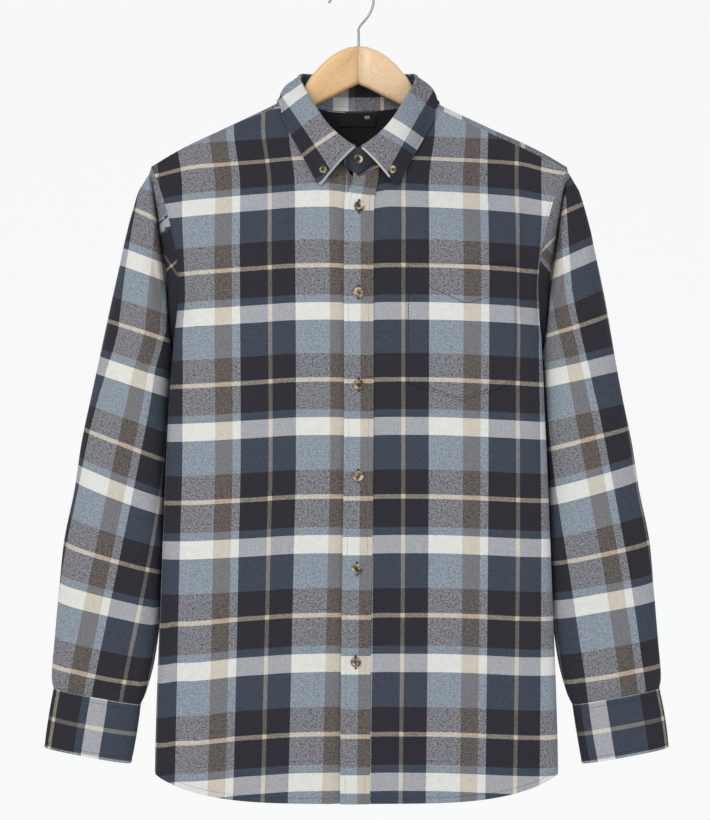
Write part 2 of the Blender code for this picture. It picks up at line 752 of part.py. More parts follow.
def make_leaf(finish):
    shares = list(LEAF_SHARES) + [1.0] + [2.0 - x for x in LEAF_SHARES[::-1]]
    downs = (1.0, 0.86, 0.66, 0.44, 0.20, 0.0)
    grid = [[leaf_point(share, down) for share in shares] for down in downs]
    return build_wall("collar_leaf", sheet(grid), COLLAR_CLOTH, finish)


# ---------------------------------------------------------------- sleeves and cuffs
def armhole(side, front, back, yoke):
    """The armhole's points from the armpit up the front, over the shoulder and down the back."""
    front_column = -1 if side > 0 else 0
    back_column = 0 if side > 0 else -1
    yoke_column = 0 if side > 0 else -1
    ring = []
    for j in range(FRONT_ROWS_BELOW, FRONT_ROWS_BELOW + FRONT_ROWS_ABOVE + 1):
        ring.append((front, j, front_column))
    for j in range(len(yoke["points"]) - 2, -1, -1):
        ring.append((yoke, j, yoke_column))
    for j in range(len(back["points"]) - 2, BACK_ROWS_BELOW, -1):
        ring.append((back, j, back_column))
    return ring


def sleeve_ring(row, count, ridge_index):
    """One section of the sleeve. Its points start at the armpit side and go up the front."""
    outer_x, outer_z, inner_x, inner_z, front, back = row
    middle = Vector(((outer_x + inner_x) / 2, SLEEVE_BACK_SHIFT, (outer_z + inner_z) / 2))
    reach = Vector(((outer_x - inner_x) / 2, 0, (outer_z - inner_z) / 2))
    power = 2.0 / SLEEVE_ROUNDNESS
    ring = []
    for k in range(count):
        if k <= ridge_index:
            turn = math.pi * (1.0 - k / ridge_index)
            depth = -front
        else:
            turn = math.pi * (k - ridge_index) / (count - ridge_index)
            depth = back
        along = math.copysign(abs(math.cos(turn)) ** power, math.cos(turn))
        ring.append(middle + reach * along + Vector((0, depth * math.sin(turn) ** power, 0)))
    return ring


def make_sleeve(side, ring_cells):
    """Rings from the armhole, through the valley beside it, down to the cuff."""
    count = len(ring_cells)
    seam = [cells["points"][j][i].copy() for cells, j, i in ring_cells]
    rings = [[point + Vector((side * SLEEVE_SEAM_GAP, 0, 0)) for point in seam]]
    top = max(point.z for point in seam)
    bottom = min(point.z for point in seam)
    valley = []
    for point in seam:
        share = (point.z - bottom) / (top - bottom)
        swell = math.sin(math.pi * share)
        out = VALLEY_LEAST + VALLEY_OUT * swell
        fall = mix(VALLEY_FALL_LOW, VALLEY_FALL_HIGH, share)
        valley.append(Vector((point.x + side * out, point.y * (1.0 - VALLEY_IN * swell), point.z - fall)))
    rings.append(valley)
    cuff_top = CUFF_TOP_OUTER + CUFF_TOP_INNER + (CUFF_HALF_DEPTH, CUFF_HALF_DEPTH)
    for row in SLEEVE_ROWS + (cuff_top,):
        lift = 2 * GAP if row is cuff_top else 0.0
        ring = []
        for point in sleeve_ring(row, count, RIDGE_INDEX):
            across = GARMENT_X + lean(point.z) + side * point.x
            ring.append(Vector((across, point.y, point.z + lift)))
        rings.append(ring)
    if side > 0:
        rings = [ring[::-1] for ring in rings]
    return sheet_ring(rings)


def sheet_ring(points):
    """Like sheet, for rows that close on themselves."""
    rows = len(points)
    columns = len(points[0])
    normals = []
    for j in range(rows):
        line = []
        for i in range(columns):
            along = points[j][(i + 1) % columns] - points[j][i - 1]
            up = points[min(j + 1, rows - 1)][i] - points[max(j - 1, 0)][i]
            line.append(along.cross(up).normalized())
        normals.append(line)
    return {"points": points, "normals": normals}


def cuff_frame():
    """The outer and the inner corner of the cuff's top edge, and of its bottom edge."""
    corners = [Vector((across, 0, height)) for across, height in
               (CUFF_TOP_OUTER, CUFF_TOP_INNER, CUFF_BOTTOM_OUTER, CUFF_BOTTOM_INNER)]
    return corners[:2], corners[2:]


def cuff_point(side, angle, share, out):
    """Point on the cuff: angle from its outer edge round the back, share from top to bottom."""
    top, low = cuff_frame()
    outer = top[0].lerp(low[0], share)
    inner = top[1].lerp(low[1], share)
    middle = (outer + inner) / 2
    reach = (outer - inner) / 2
    turn = math.radians(angle)
    power = 2.0 / SLEEVE_ROUNDNESS
    along = math.copysign(abs(math.cos(turn)) ** power, math.cos(turn))
    across = math.copysign(abs(math.sin(turn)) ** power, math.sin(turn))
    stretch = 1.0 + out / reach.length
    point = middle + reach * along * stretch
    point += Vector((0, SLEEVE_BACK_SHIFT + (CUFF_HALF_DEPTH + out) * across, 0))
    return Vector((GARMENT_X + side * point.x, point.y, point.z))


def make_cuff(side, name, finish):
    """A band that starts under its own end, goes once round and laps over its start."""
    steps = 24
    total = 360.0 + CUFF_LAP
    grid = [[] for _ in range(3)]
    for k in range(steps + 1):
        travelled = total * k / steps
        angle = CUFF_LAP_START + travelled
        over = ease((travelled - CUFF_RISE_START) / CUFF_RISE) * (CUFF_CLOTH + 2 * GAP)
        for j in range(3):
            grid[j].append(cuff_point(side, angle, j / 2, over))
    if side < 0:
        grid = [line[::-1] for line in grid]
    grid = grid[::-1]
    return build_wall(name, sheet(grid), CUFF_CLOTH, finish)


def make_sleeve_placket(side, name, sleeve, finish):
    """Short strip on the back of the sleeve above the cuff's lap, moved out from its points."""
    rows = sleeve["points"][-4:]
    turns = sleeve["normals"][-4:]
    wanted = RIDGE_INDEX + SLIT_COLUMN
    k = len(rows[0]) - 1 - wanted if side > 0 else wanted
    step = -1 if side > 0 else 1
    grid = []
    for line, normals in zip(rows, turns):
        normal = (normals[k] + normals[k + step]).normalized()
        ends = [line[k].lerp(line[k + step], share) for share in (0.10, 0.90)]
        grid.append([point + normal * (CLOTH + SLIT_CLEAR) for point in ends])
    grid[-1] = [low.lerp(high, 0.12) for low, high in zip(grid[-1], grid[-2])]
    cloth = sheet(grid)
    if cloth["normals"][0][0].dot(turns[0][k]) < 0:
        cloth = sheet([line[::-1] for line in grid])
    return build_wall(name, cloth, CLOTH, finish)


# ---------------------------------------------------------------- buttons
BUTTON_PROFILE = (
    # share of the radius, share of the thickness: foot, rim and the dish in its face
    (0.70, 0.00),
    (0.94, 0.25),
    (1.00, 0.60),
    (0.90, 0.96),
    (0.76, 1.00),
    (0.62, 0.72),
)
BUTTON_SIDES = 14


def make_button(name, centre, outward, diameter, thickness, finish):
    """Turned button with a raised rim, standing on its centre and facing outward."""
    mesh = bmesh.new()
    rings = []
    for radius_share, high_share in BUTTON_PROFILE:
        radius = diameter / 2 * radius_share
        ring = []
        for k in range(BUTTON_SIDES):
            turn = 2 * math.pi * k / BUTTON_SIDES
            across = radius * math.cos(turn)
            up = radius * math.sin(turn)
            ring.append(mesh.verts.new((across, up, thickness * high_share)))
        rings.append(ring)
    mesh.faces.new(rings[0][::-1])
    mesh.faces.new(rings[-1])
    for lower, upper in zip(rings, rings[1:]):
        for k in range(BUTTON_SIDES):
            m = (k + 1) % BUTTON_SIDES
            mesh.faces.new((lower[k], lower[m], upper[m], upper[k]))
    made = place(name, mesh, finish)
    made.location = centre
    made.rotation_mode = "QUATERNION"
    made.rotation_quaternion = outward.to_track_quat("Z", "Y")
    return made


def surface_normal(point_at, a, b, step):
    along = point_at(a + step, b) - point_at(a - step, b)
    up = point_at(a, b + step) - point_at(a, b - step)
    return along.cross(up).normalized()


def facing(normal, way):
    """The normal turned to the front, way -1, or to the back, 1."""
    return normal if normal.y * way > 0 else -normal


def make_buttons(finish):
    for n, height in enumerate(BUTTON_HEIGHTS):
        across = placket_middle(height)
        normal = surface_normal(front_point, across, height, 0.004)
        foot = front_point(across, height, out=CLOTH + 3 * GAP)
        make_button("button_front_%d" % (n + 1), foot, normal, BUTTON_DIAMETER, BUTTON_THICKNESS, finish)
    low = front_point(0.0, NECK_FRONT_HEIGHT, out=CLOTH + GAP)
    middle = low.lerp(fold_point(0.0), 0.5) + Vector((0.0010, -BUTTON_CLEAR - 0.0010, 0))
    make_button("button_stand", middle, Vector((0, -1, 0.05)).normalized(), SMALL_BUTTON_DIAMETER,
                SMALL_BUTTON_THICKNESS, finish)
    for name, share in (("button_collar_left", 0.045), ("button_collar_right", 1.955)):
        normal = facing(surface_normal(leaf_point, share, COLLAR_BUTTON_DOWN, 0.02), -1)
        foot = leaf_point(share, COLLAR_BUTTON_DOWN) + normal * BUTTON_CLEAR
        make_button(name, foot, normal, SMALL_BUTTON_DIAMETER, SMALL_BUTTON_THICKNESS, finish)
    for side, name in ((1, "button_cuff_left"), (-1, "button_cuff_right")):
        def lapped(angle, share):
            return cuff_point(side, angle, share, CUFF_CLOTH + 2 * GAP)

        angle = CUFF_LAP_START + CUFF_LAP * 0.5
        along = lapped(angle + 3, 0.5) - lapped(angle - 3, 0.5)
        down = lapped(angle, 0.6) - lapped(angle, 0.4)
        normal = facing(along.cross(down).normalized(), 1)
        make_button(name, lapped(angle, 0.5) + normal * BUTTON_CLEAR, normal, SMALL_BUTTON_DIAMETER,
                    SMALL_BUTTON_THICKNESS, finish)


# ---------------------------------------------------------------- hanger
def make_hanger_half(side, name, finish, cutter):
    """Outline of one arm, extruded to the wood's thickness, with rounded edges and half of the
    hook's hole."""
    mesh = bmesh.new()
    top = [(row[0], row[1]) for row in HANGER_ROWS]
    bottom = [(row[0], row[2]) for row in HANGER_ROWS]
    outline = top + bottom[::-1]
    verts = [mesh.verts.new((HANGER_X + side * x, -HANGER_THICKNESS / 2, z)) for x, z in outline]
    face = mesh.faces.new(verts if side < 0 else verts[::-1])
    face.normal_update()
    if face.normal.y > 0:
        face.normal_flip()
    moved = bmesh.ops.extrude_face_region(mesh, geom=[face])
    shift = [v for v in moved["geom"] if isinstance(v, bmesh.types.BMVert)]
    bmesh.ops.translate(mesh, verts=shift, vec=(0, HANGER_THICKNESS, 0))
    bmesh.ops.recalc_face_normals(mesh, faces=mesh.faces)
    long_edges = [e for e in mesh.edges
                  if abs(e.verts[0].co.y - e.verts[1].co.y) < 1e-6
                  and not (abs(abs(e.verts[0].co.x - HANGER_X) - HANGER_ROWS[0][0]) < 1e-5
                           and abs(abs(e.verts[1].co.x - HANGER_X) - HANGER_ROWS[0][0]) < 1e-5)]
    bmesh.ops.bevel(mesh, geom=long_edges, offset=HANGER_EDGE, segments=2, profile=0.5,
                    affect="EDGES", clamp_overlap=True)
    made = place(name, mesh, finish)
    drill = made.modifiers.new("hook hole", "BOOLEAN")
    drill.operation = "DIFFERENCE"
    drill.solver = "EXACT"
    drill.object = cutter
    return made


def make_hanger(finish):
    mesh = bmesh.new()
    bmesh.ops.create_cone(mesh, cap_ends=True, segments=10, radius1=HOOK_WIRE / 2 + 0.0004,
                          radius2=HOOK_WIRE / 2 + 0.0004, depth=HOOK_HOLE * 2)
    data = bpy.data.meshes.new("hook_drill")
    mesh.to_mesh(data)
    mesh.free()
    cutter = bpy.data.objects.new("hook_drill", data)
    cutter.location = (HANGER_X, 0, HANGER_ROWS[0][1])
    cutter.hide_render = True
    cutter.display_type = "WIRE"
    bpy.context.scene.collection.objects.link(cutter)
    make_hanger_half(1, "hanger_left", finish, cutter)
    make_hanger_half(-1, "hanger_right", finish, cutter)


def smooth_route(knots, steps):
    """Catmull-Rom curve through the knots."""
    route = []
    padded = [knots[0] * 2 - knots[1]] + knots + [knots[-1] * 2 - knots[-2]]
    for k in range(1, len(padded) - 2):
        a, b, c, d = padded[k - 1:k + 3]
        for n in range(steps):
            t = n / steps
            route.append(0.5 * (2 * b + (c - a) * t + (2 * a - 5 * b + 4 * c - d) * t ** 2
                                + (3 * b - a - 3 * c + d) * t ** 3))
    route.append(knots[-1])
    return route


def make_hook(finish):
    """Wire from the wood up through its knee, round over the rail to its flared tip."""
    centre_z = HOOK_WIRE / 2 - HOOK_RADIUS
    wood_top = HANGER_ROWS[0][1]
    knots = [Vector((HANGER_X, 0, wood_top - HOOK_HOLE + 0.001)),
             Vector((HANGER_X, 0, wood_top + 0.004)),
             Vector((HANGER_X, 0, -0.0590)),
             Vector((0.0066, 0, -0.0555)),
             Vector((0.0095, 0, -0.0502)),
             Vector((0.0150, 0, -0.0443)),
             Vector((0.0202, 0, -0.0362))]
    for k in range(9):
        turn = math.radians(mix(-10.0, 172.0, k / 8))
        knots.append(Vector((HOOK_RADIUS * math.cos(turn), 0, centre_z + HOOK_RADIUS * math.sin(turn))))
    knots.append(Vector((-0.0275, 0, -0.0252)))
    curve = bpy.data.curves.new("hook", "CURVE")
    curve.dimensions = "3D"
    curve.bevel_depth = HOOK_WIRE / 2
    curve.bevel_resolution = 2
    curve.use_fill_caps = True
    spline = curve.splines.new("POLY")
    route = smooth_route(knots, 3)
    spline.points.add(len(route) - 1)
    for point, at in zip(spline.points, route):
        point.co = (at.x, at.y, at.z, 1.0)
    made = bpy.data.objects.new("hook", curve)
    curve.materials.append(finish)
    bpy.context.scene.collection.objects.link(made)
    return made


# ---------------------------------------------------------------- the whole shirt
def main():
    dark = material("flannel dark", FLANNEL_DARK, 0.95)
    light = material("flannel light", FLANNEL_LIGHT, 0.95)
    mixed = material("flannel mixed", FLANNEL_MIXED, 0.95)
    black = material("black lining", LINING_BLACK, 0.9)
    horn = material("horn", HORN_BROWN, 0.35)
    wood = material("beech", BEECH, 0.45)
    steel = material("steel", STEEL, 0.3, 1.0)

    left, right = make_fronts()
    yoke = sheet(yoke_grid())
    back = sheet(back_grid(yoke))
    top = len(left["points"]) - 1
    last = len(yoke["points"][0]) - 1
    upper = len(yoke["points"]) - 1
    for k in range(SEAM_COLUMNS):
        share_normals(left, [(top, len(left["points"][0]) - 1 - k)], yoke, [(upper, k)])
        share_normals(right, [(top, k)], yoke, [(upper, last - k)])
    seam = range(last + 1)
    share_normals(back, [(len(back["points"]) - 1, i) for i in seam], yoke, [(0, i) for i in seam])
    side_rows = range(FRONT_ROWS_BELOW + 1)
    share_normals(left, [(j, -1) for j in side_rows], back, [(j, 0) for j in side_rows])
    share_normals(right, [(j, 0) for j in side_rows], back, [(j, -1) for j in side_rows])

    sleeves = {}
    for side, front in ((1, left), (-1, right)):
        ring_cells = armhole(side, front, back, yoke)
        sleeve = make_sleeve(side, ring_cells)
        count = len(ring_cells)
        for k, (cells, j, i) in enumerate(ring_cells):
            n = count - 1 - k if side > 0 else k
            share_normals(cells, [(j, i)], sleeve, [(0, n)])
        end = 0 if side > 0 else -1
        outer_end = -1 if side > 0 else 0
        yoke["normals"][-1][end] = front["normals"][-1][outer_end]
        back["normals"][-1][end] = yoke["normals"][0][end]
        back["normals"][BACK_ROWS_BELOW][end] = front["normals"][FRONT_ROWS_BELOW][outer_end]
        sleeves[side] = sleeve

    build_wall("front_left", left, CLOTH, mixed)
    build_wall("front_right", right, CLOTH, light)
    build_wall("back", back, CLOTH, mixed)
    build_wall("yoke", yoke, CLOTH, dark)
    build_wall("sleeve_left", sleeves[1], CLOTH, light, ring=True)
    build_wall("sleeve_right", sleeves[-1], CLOTH, mixed, ring=True)
    for side, word in ((1, "left"), (-1, "right")):
        make_sleeve_placket(side, "sleeve_placket_" + word, sleeves[side], dark)
        make_cuff(side, "cuff_" + word, dark)
    make_placket(left, light)
    make_pocket(light)
    make_lining(yoke, black)
    make_label(dark)
    make_stand(left, right, yoke, dark)
    make_leaf(light)
    make_buttons(horn)
    make_hanger(wood)
    make_hook(steel)


main()
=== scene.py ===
import math

import bpy
import numpy as np
from mathutils import Matrix, Vector


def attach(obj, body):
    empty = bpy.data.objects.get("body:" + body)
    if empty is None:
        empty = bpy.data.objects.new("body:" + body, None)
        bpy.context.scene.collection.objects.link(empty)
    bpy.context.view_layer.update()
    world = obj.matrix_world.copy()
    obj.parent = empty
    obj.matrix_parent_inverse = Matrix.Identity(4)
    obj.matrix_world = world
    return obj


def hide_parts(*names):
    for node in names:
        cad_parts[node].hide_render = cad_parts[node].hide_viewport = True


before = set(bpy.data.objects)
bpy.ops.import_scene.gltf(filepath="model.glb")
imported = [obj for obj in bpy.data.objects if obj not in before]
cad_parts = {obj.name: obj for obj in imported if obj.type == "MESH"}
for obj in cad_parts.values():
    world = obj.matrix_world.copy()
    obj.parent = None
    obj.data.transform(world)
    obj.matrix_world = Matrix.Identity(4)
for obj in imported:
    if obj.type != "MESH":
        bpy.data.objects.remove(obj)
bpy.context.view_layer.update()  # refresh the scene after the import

print("frame loaded:", len(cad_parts), "nodes")

# All lengths are metres. +X is the wearer's left, the front faces -Y and +Z is up.
gap = 0.0003
sides = ((1, "left"), (-1, "right"))
shirt = {
    "centre": 0.0044,           # the shirt hangs this far off the hook's line
    "cloth": 0.0012,            # flannel, one layer
    "armpit": -0.424,
    "shoulderHalf": 0.2376,
    "shoulderLean": 0.0028,
    "ridgeRadius": 0.011,       # the turn over the shoulders
    "hemFront": -0.937,
    "hemBack": -0.941,
    "hemRise": 0.030,
    "neckHalf": 0.080,
    "neckFront": -0.232,
    "neckSide": -0.1375,
    "neckBack": -0.148,
    "cell": 0.0040,             # size of the cloth's mesh cells
}
# height, half width, depth of the front, depth of the back
bodyRows = (
    (-0.950, 0.2312, 0.034, 0.028), (-0.880, 0.2303, 0.036, 0.029), (-0.818, 0.2285, 0.038, 0.030),
    (-0.742, 0.2256, 0.040, 0.031), (-0.642, 0.2216, 0.043, 0.032), (-0.544, 0.2175, 0.046, 0.032),
    (-0.458, 0.2130, 0.049, 0.032), (-0.424, 0.2107, 0.051, 0.031), (-0.379, 0.2065, 0.053, 0.030),
    (-0.342, 0.2045, 0.055, 0.029), (-0.303, 0.2095, 0.058, 0.028), (-0.263, 0.2190, 0.061, 0.027),
    (-0.233, 0.2290, 0.064, 0.026), (-0.212, 0.2376, 0.066, 0.025), (-0.090, 0.2376, 0.066, 0.024),
)
# across, height of the shoulders' ridge
ridgeRows = (
    (-0.040, -0.1192), (0.000, -0.1144), (0.040, -0.1192), (0.080, -0.1345), (0.098, -0.1437),
    (0.127, -0.1575), (0.156, -0.1712), (0.187, -0.1852), (0.214, -0.1990), (0.238, -0.2135),
)
neckRows = (                    # across, rise of the neckline over a plain curve
    (-0.074, 0.0), (-0.060, 0.0030), (-0.042, 0.0100), (-0.028, 0.0140), (-0.0180, 0.0145), (-0.0110, 0.0108),
    (-0.0066, 0.0012), (-0.0036, 0.0), (0.0030, 0.0030), (0.0200, 0.0118), (0.028, 0.0130), (0.042, 0.0090),
    (0.060, 0.0028), (0.074, 0.0),
)
sideTurn = np.array((0.70, 0.80, 0.87, 0.93, 0.97, 0.9935, 0.9996, 1.0))
armholeTurn = np.array((0.56, 0.68, 0.79, 0.87, 0.93, 0.965, 0.987, 1.0))
neckColumns = (0.022, 0.044, 0.062, 0.0755, 0.080)
shoulderColumns = (0.103,)
rollRun = shirt["ridgeRadius"] * math.pi / 2 + 0.0002


# A column of a table on a smooth curve through its rows, for one place or an array of them
def readTable(rows, column, at):
    keys = np.array([row[0] for row in rows])
    values = np.array([row[column] for row in rows])
    steps, rises = np.diff(keys), np.diff(values)
    slopes = np.empty(len(keys))
    slopes[0], slopes[-1] = rises[0] / steps[0], rises[-1] / steps[-1]
    slopes[1:-1] = (values[2:] - values[:-2]) / (keys[2:] - keys[:-2])
    at = np.clip(at, keys[0], keys[-1])
    k = np.clip(np.searchsorted(keys, at, side="right") - 1, 0, len(steps) - 1)
    t = (at - keys[k]) / steps[k]
    start, end, rise = slopes[k] * steps[k], slopes[k + 1] * steps[k], rises[k]
    return (values[k] + start * t + (3 * rise - 2 * start - end) * t ** 2
            + (start + end - 2 * rise) * t ** 3)


def ease(share):
    share = np.clip(share, 0.0, 1.0)
    return share * share * (3 - 2 * share)


def mix(a, b, share):
    return a + (b - a) * share


def between(columns, values):
    return np.interp(columns, np.arange(len(values)), values)


def stack(x, y, z):
    return np.stack(np.broadcast_arrays(x, y, z), axis=-1).astype(float)


def fineSteps(lengths, cell):
    steps = []
    for k, length in enumerate(lengths):
        count = max(1, round(float(length) / cell))
        steps.extend(k + n / count for n in range(count))
    return np.array(steps + [float(len(lengths))])


# The body's surface

def ridgeHeight(across):
    return readTable(ridgeRows, 1, np.abs(across))


def halfWidth(height):
    return readTable(bodyRows, 1, height)


def aboveArmpit(height):
    return ease((height - shirt["armpit"]) / 0.060)


def armholeDepth(height):
    share = np.clip((height - shirt["armpit"]) / (-0.2165 - shirt["armpit"]), 0.0, 1.0)
    return 0.019 * np.sin(np.pi * share) ** 0.8 + 0.0075 * share


def surfaceDepth(across, height, front, width=None):
    radius = shirt["ridgeRadius"]
    full = readTable(bodyRows, 2 if front else 3, height)
    below = np.maximum(ridgeHeight(across) - height, 0.0)
    turn = 1.0 - np.minimum(below / radius, 1.0)
    depth = radius * np.sqrt(1.0 - turn * turn)
    fall = 0.170 if front else 0.070
    depth = depth + (full - radius) * (1.0 - np.cos(np.pi * np.minimum(below / fall, 1.0))) / 2
    width = halfWidth(height) if width is None else width
    share = np.minimum(np.abs(across) / width, 1.0)
    edge = np.minimum(armholeDepth(height), depth)
    bluntness = mix(4.0, 1.5, aboveArmpit(height))
    return edge + (depth - edge) * (1.0 - share ** 4) ** (1.0 / bluntness)


def lean(height):
    return shirt["shoulderLean"] * ease((height + 0.52) / 0.20)


def levelPlace(across, height):
    return shirt["centre"] + across + lean(height) * (across / shirt["shoulderHalf"]) ** 2


def frontPoint(across, height, out=0.0, width=None):
    depth = surfaceDepth(across, height, True, width)
    return stack(levelPlace(across, height), -depth - out, height)


def backPoint(across, height, out=0.0, width=None):
    depth = surfaceDepth(across, height, False, width)
    return stack(levelPlace(across, height), depth + out, height)


# Height at a run of cloth from the ridge, and the run down to a height
def heightAtRun(across, run):
    radius = shirt["ridgeRadius"]
    reach = np.abs(run)
    turned = radius * (1.0 - np.cos(np.minimum(reach / radius, np.pi / 2)))
    return ridgeHeight(across) - turned - np.maximum(reach - radius * np.pi / 2, 0.0)


def runTo(across, height):
    radius = shirt["ridgeRadius"]
    below = np.maximum(ridgeHeight(across) - height, 0.0)
    turned = radius * np.arccos(1.0 - np.minimum(below / radius, 1.0))
    return np.where(below < radius, turned, below + radius * (np.pi / 2 - 1.0))


def seamForward(across):
    outward = ease((np.abs(across) - shirt["neckHalf"]) / 0.080)
    return np.where(across > 0, 0.0135, mix(0.0130, 0.0030, outward))


# The neckline is a round curve with a V at the front's middle, where the collar closes
def neckline(across):
    share = np.minimum(np.abs(across) / shirt["neckHalf"], 1.0)
    closing = np.interp(across, *np.transpose(neckRows))
    return mix(shirt["neckFront"], shirt["neckSide"], 1.0 - np.sqrt(1.0 - share * share)) + closing


def backNeckline(across):
    share = np.minimum(np.abs(across) / shirt["neckHalf"], 1.0)
    return mix(shirt["neckBack"], shirt["neckSide"] - 0.002, share ** 2)


def hemHeight(share, middle):
    return middle + shirt["hemRise"] * np.abs(share) ** 4


def columnPlaces(height, width, inner):
    shares = mix(sideTurn, armholeTurn, aboveArmpit(height))
    return np.array(list(inner) + [float(width * share) for share in shares])


# Grids, creases and walls

def gridNormals(points, ring=False):
    if ring:
        along = np.roll(points, -1, axis=1) - np.roll(points, 1, axis=1)
    else:
        padded = np.concatenate([points[:, :1], points, points[:, -1:]], axis=1)
        along = padded[:, 2:] - padded[:, :-2]
    tall = np.concatenate([points[:1], points, points[-1:]], axis=0)
    normals = np.cross(along, tall[2:] - tall[:-2])
    return normals / np.maximum(np.linalg.norm(normals, axis=-1, keepdims=True), 1e-12)


# A crease runs from one place to another on the flat (mm), with its half width and depth; a
# positive depth stands out. It bends by bow, tapers to both ends and wanders a little.
def creaseLift(points, creases):
    x, z = points[..., 0] * 1000, points[..., 2] * 1000
    lift = np.zeros(x.shape)
    for n, (x1, z1, x2, z2, half, depth, bow) in enumerate(creases):
        length = math.hypot(x2 - x1, z2 - z1)
        dx, dz = (x2 - x1) / length, (z2 - z1) / length
        t = ((x - x1) * dx + (z - z1) * dz) / length
        aside = (x - x1) * dz - (z - z1) * dx
        aside = aside - bow * np.sin(np.pi * np.clip(t, 0, 1)) - 0.18 * half * np.sin(9 * t + 1.7 * n)
        wide = half * (1 + 0.30 * np.sin(5.3 * t + 2.1 * n) + 0.12 * np.sin(13 * t + n))
        taper = ease((t + 0.05) / 0.35) * ease((1.05 - t) / 0.35)
        lift += depth * taper * np.exp(-(aside / wide) ** 2)
    return lift / 1000


# Slow unevenness of hanging cloth, so that no stretch is quite flat
def softWaves(points, amount, seed):
    x, z = points[..., 0] * 1000, points[..., 2] * 1000
    a = np.sin(x / 23 + 1.3 * seed + 0.7 * np.sin(z / 71 + seed))
    b = np.sin(z / 57 + 2.1 * seed + 0.9 * np.sin(x / 41 - seed))
    c = np.sin((x + 0.6 * z) / 34 + 0.5 * seed)
    return amount / 1000 * (0.45 * a + 0.30 * b + 0.35 * c)


def newObject(name, data):
    made = bpy.data.objects.new(name, data)
    bpy.context.scene.collection.objects.link(made)
    return made


def newPiece(name, vertices, faces, uvs, material):
    mesh = bpy.data.meshes.new(name)
    mesh.from_pydata(vertices.tolist(), [], faces.tolist())
    layer = mesh.uv_layers.new(name="weave")
    layer.data.foreach_set("uv", uvs.astype(np.float32).ravel())
    mesh.materials.append(material)
    mesh.shade_smooth()
    mesh.set_sharp_from_angle(angle=math.radians(50))
    mesh.update()
    return newObject(name, mesh)


# A cloth piece: outer skin, inner skin and a rounded edge between them
def clothPiece(name, points, weave, thickness, material, ring=False):
    rows, columns = points.shape[:2]
    normals = gridNormals(points, ring)
    spans = columns if ring else columns - 1
    if ring and weave.shape[1] == columns:
        weave = np.concatenate([weave, weave[:, :1]], axis=1)
    j, i = np.meshgrid(np.arange(rows - 1), np.arange(spans), indexing="ij")
    k = (i + 1) % columns
    below, above = j * columns, (j + 1) * columns
    outer = np.stack([below + i, below + k, above + k, above + i], axis=-1)
    outerUv = np.stack([weave[j, i], weave[j, i + 1], weave[j + 1, i + 1], weave[j + 1, i]], axis=-2)
    count = rows * columns
    faces = [outer.reshape(-1, 4), (outer[..., ::-1] + count).reshape(-1, 4)]
    uvs = [outerUv.reshape(-1, 4, 2), outerUv[..., ::-1, :].reshape(-1, 4, 2)]
    vertices = [points.reshape(-1, 3), (points - normals * thickness).reshape(-1, 3)]
    flat, flatNormals, flatUv = vertices[0], normals.reshape(-1, 3), weave[:, :columns].reshape(-1, 2)
    low, side = np.arange(columns), np.arange(rows) * columns
    loops = [low, (rows - 1) * columns + low[::-1]]
    if not ring:
        loops = [np.concatenate([low[:-1], side[:-1] + columns - 1,
                                 ((rows - 1) * columns + low)[::-1][:-1], side[::-1][:-1]])]
    total = 2 * count
    for loop in loops:
        following = np.roll(loop, -1)
        tangent = flat[following] - flat[np.roll(loop, 1)]
        outward = np.cross(tangent, flatNormals[loop])
        outward /= np.maximum(np.linalg.norm(outward, axis=1, keepdims=True), 1e-12)
        middle = flat[loop] - flatNormals[loop] * thickness / 2 + outward * thickness * 0.35
        vertices.append(middle)
        mids = total + np.arange(len(loop))
        nextMids = np.roll(mids, -1)
        total += len(loop)
        faces.append(np.stack([following, loop, mids, nextMids], axis=-1))
        faces.append(np.stack([nextMids, mids, loop + count, following + count], axis=-1))
        edgeUv = np.stack([flatUv[following], flatUv[loop], flatUv[loop], flatUv[following]], axis=-2)
        if ring:
            edgeUv[:, [0, 3]] = edgeUv[:, [1, 2]]
        uvs.extend([edgeUv, edgeUv])
    piece = newPiece(name, np.concatenate(vertices), np.concatenate(faces), np.concatenate(uvs), material)
    area = float(np.linalg.norm(np.cross(points[1:, 1:] - points[:-1, :-1],
                                         points[1:, :-1] - points[:-1, 1:]), axis=-1).sum() / 2)
    print("  %s: %d faces, %.4f m2" % (name, len(piece.data.polygons), area))
    return piece


def flannelPiece(name, points, weave, thickness=shirt["cloth"], ring=False):
    return clothPiece(name, points, weave, thickness, cloths["flannel"], ring)


# Stitches
stitch = {"pitch": 0.0032, "length": 0.0023, "width": 0.00042, "height": 0.00032}


def travelledAlong(line):
    return np.concatenate([[0], np.cumsum(np.linalg.norm(np.diff(line, axis=0), axis=1))])


def valuesAt(at, travelled, values):
    return np.stack([np.interp(at, travelled, values[:, n]) for n in range(3)], axis=-1)


# Points spread along a line on a sheet at an even pitch, with the sheet's normals there
def spread(line, normals, pitch):
    travelled = travelledAlong(line)
    count = max(2, int(travelled[-1] / pitch))
    at = (np.arange(count) + 0.5) * travelled[-1] / count
    ahead = valuesAt(at + pitch * 0.4, travelled, line)
    behind = valuesAt(at - pitch * 0.4, travelled, line)
    return valuesAt(at, travelled, line), valuesAt(at, travelled, normals), ahead - behind


